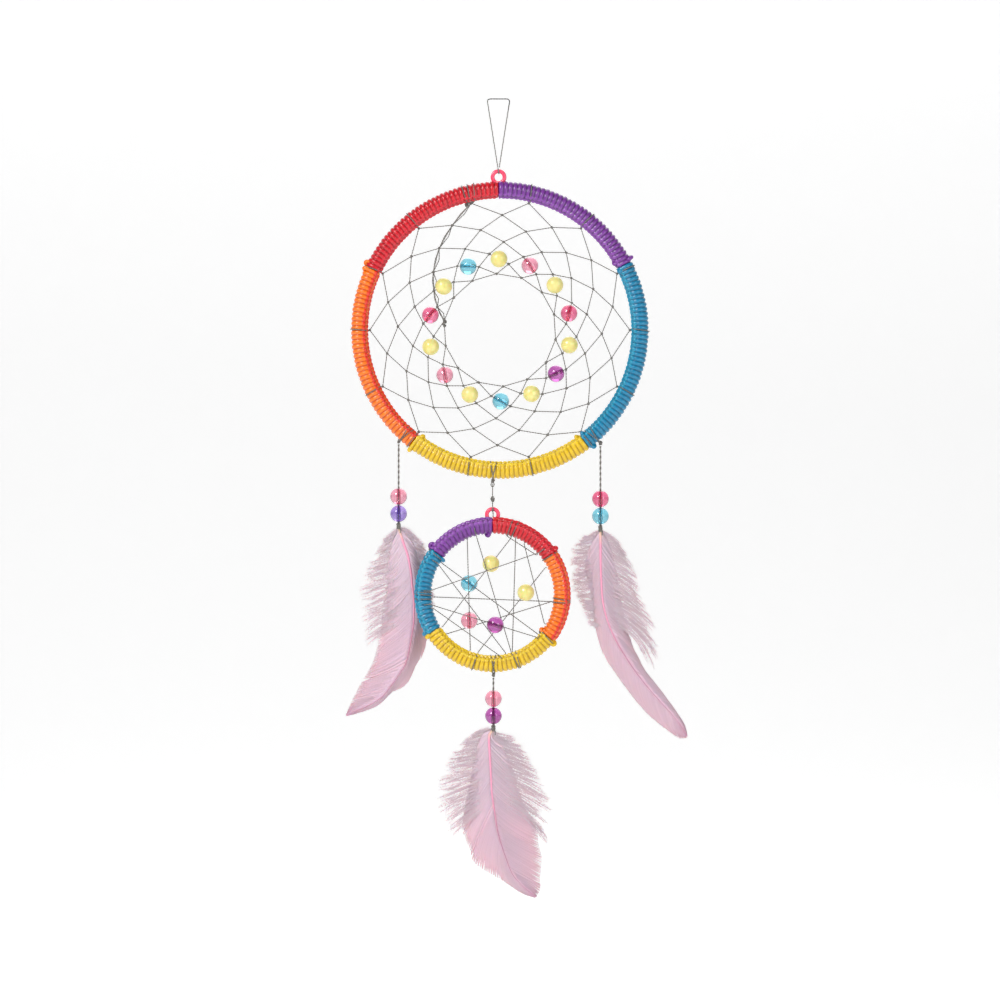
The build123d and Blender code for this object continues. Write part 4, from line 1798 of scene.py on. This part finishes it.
LARGE_WRAPS = (
    Wrap("purple", 27.6, 90.5, (128.0, 162.0), ((29.0, 20.0, 1.1, 0.2), (30.2, 150.0, 0.8, 0.5))),
    Wrap("red", 90.5, 154.5, (128.0, 162.0)),
    Wrap("orange", 154.5, 232.0, (124.0, 158.0), ((155.6, 40.0, 1.1, 0.3),
                                                  (153.2, 12.0, 0.9, 0.7))),
    Wrap("yellow", 232.0, 307.1, (132.0, 164.0), ((233.0, 8.0, 1.0, 0.2), (234.2, 165.0, 0.9, 0.4),
                                                  (305.6, 160.0, 0.9, 0.3))),
    Wrap("blue", 307.1, 387.6, (132.0, 162.0), ((308.6, 150.0, 0.9, 0.3), (309.0, 15.0, 0.9, 0.5),
                                                (386.2, 140.0, 0.8, 0.4))),
)
SMALL_WRAPS = (
    Wrap("purple", 90.0, 143.0, (62.0, 26.0), ((141.0, 10.0, 1.15, 0.9), (94.5, 178.0, 1.0, 0.5))),
    Wrap("blue", 143.0, 211.5, (58.0, 24.0), ((145.2, 165.0, 0.8, 0.2), (210.0, 12.0, 0.9, 0.3))),
    Wrap("yellow", 211.5, 322.9, (118.0, 155.0), ((321.4, 12.0, 1.0, 0.6),
                                                  (213.0, 30.0, 0.8, 0.3))),
    Wrap("orange", 322.9, 394.5, (60.0, 25.0), ((324.6, 168.0, 0.9, 0.4),)),
    Wrap("red", 394.5, 450.0, (64.0, 28.0), ((396.4, 15.0, 0.9, 0.4),)),
)

LEFT_FEATHER = Feather(
    Side.LEFT, 8.0,
    ((0.0, -1.2), (2.4, -9.0), (4.3, -14.6), (5.8, -22.9), (6.3, -29.2), (7.0, -35.3),
     (7.0, -45.5), (6.2, -51.7), (4.9, -59.2), (3.1, -66.3), (0.6, -70.5), (-4.0, -77.1),
     (-10.1, -83.9), (-25.0, -91.2)),
    ((-0.6, -2.5), (-4.2, -12.0), (-6.2, -24.0), (-7.6, -38.0), (-9.2, -50.0), (-11.5, -63.0),
     (-15.3, -71.5), (-18.3, -76.4), (-22.8, -85.1), (-25.6, -91.5)),
    ((1.0, -2.5), (8.2, -12.0), (11.2, -24.0), (12.6, -40.0), (13.4, -52.5), (12.8, -58.1),
     (11.2, -63.0), (8.2, -67.6), (6.5, -70.7), (4.3, -75.7), (0.6, -79.2), (-4.5, -81.0),
     (-10.1, -84.6), (-17.2, -88.4), (-25.6, -91.5)),
    ((-1.5, -1.0), (-7.0, -7.5), (-13.4, -22.8), (-15.7, -30.6), (-14.6, -41.8), (-13.9, -58.0)),
    ((1.6, -1.0), (8.2, -6.6), (11.6, -12.0), (14.0, -24.0), (15.0, -38.0), (14.6, -52.0)),
    ((Edge.LEFT, 0.62, 0.012),),
)
RIGHT_FEATHER = Feather(
    Side.RIGHT, 4.0,
    ((0.0, -1.2), (0.3, -22.0), (1.7, -37.7), (6.4, -51.4), (14.8, -65.5), (24.2, -77.7),
     (36.0, -91.0), (41.0, -98.8)),
    ((-0.8, -2.0), (-5.2, -9.0), (-7.4, -19.0), (-6.3, -26.7), (-4.6, -33.0), (-2.0, -44.0),
     (-1.0, -51.5), (1.6, -60.5), (6.8, -68.8), (16.4, -81.8), (24.7, -90.8), (35.7, -99.1),
     (38.5, -100.2), (41.2, -99.6)),
    ((0.9, -2.0), (6.0, -12.0), (9.0, -26.0), (10.6, -38.0), (13.4, -50.0), (17.2, -60.5),
     (20.4, -67.5), (24.0, -74.3), (26.0, -77.7), (31.6, -82.5), (37.8, -90.8), (40.6, -95.5),
     (41.2, -99.6)),
    ((-1.5, -0.8), (-8.0, -5.0), (-11.6, -11.0), (-12.2, -19.1), (-10.6, -30.0), (-7.0, -38.0),
     (-4.0, -47.0)),
    ((1.5, -0.8), (8.0, -7.0), (13.0, -16.3), (17.1, -28.8), (19.6, -37.7), (24.0, -48.7),
     (24.6, -57.0), (24.0, -66.0)),
    ((Edge.RIGHT, 0.44, 0.012),),
)
TAIL_FEATHER = Feather(
    Side.TAIL, 3.0,
    ((0.0, -1.2), (-2.0, -4.2), (-1.7, -13.0), (-1.1, -24.0), (-0.7, -31.6), (0.5, -39.4),
     (1.8, -48.2), (3.5, -54.8), (5.9, -61.9), (8.7, -69.1), (13.1, -74.6), (19.6, -80.2)),
    ((-2.0, -2.5), (-6.6, -9.0), (-10.0, -20.0), (-12.4, -31.0), (-14.6, -42.2), (-14.4, -51.5),
     (-11.1, -59.2), (-9.4, -64.7), (-5.6, -68.0), (1.0, -71.3), (6.5, -74.6), (13.7, -79.0),
     (20.0, -80.9)),
    ((1.0, -2.5), (6.0, -10.0), (10.0, -22.0), (13.6, -33.0), (18.0, -44.0), (21.0, -51.0),
     (21.4, -56.0), (23.0, -63.1), (22.2, -71.3), (22.2, -76.8), (20.0, -80.9)),
    ((-1.8, 0.2), (-8.0, -3.0), (-14.4, -8.5), (-21.0, -20.7), (-23.7, -31.7), (-21.4, -42.2),
     (-17.5, -51.0)),
    ((1.4, 0.2), (6.6, -3.0), (13.1, -11.3), (18.6, -22.9), (22.5, -31.0), (23.6, -39.4),
     (22.6, -47.0), (23.2, -55.0)),
    ((Edge.LEFT, 0.43, 0.014),),
)


def main() -> None:
    """Build the object piece by piece."""
    logging.basicConfig(level=logging.INFO, format="%(name)s: %(message)s")
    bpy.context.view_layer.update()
    Studio().build()
    HangingLoop().build()
    large = WrappedHoop("large", LARGE_WRAPS)
    small = WrappedHoop("small", SMALL_WRAPS)
    for hoop in (large, small):
        hoop.dress_ring()
        hoop.build_wraps()
    NetWeb(large).build()
    ChordWeb(small).build()
    Link(large, small).build()
    Strand(Side.LEFT, "pink", "violet", LEFT_FEATHER).build()
    Strand(Side.RIGHT, "rose", "aqua", RIGHT_FEATHER).build()
    Strand(Side.TAIL, "pink", "purple", TAIL_FEATHER).build()


if __name__ == "__main__":
    main()
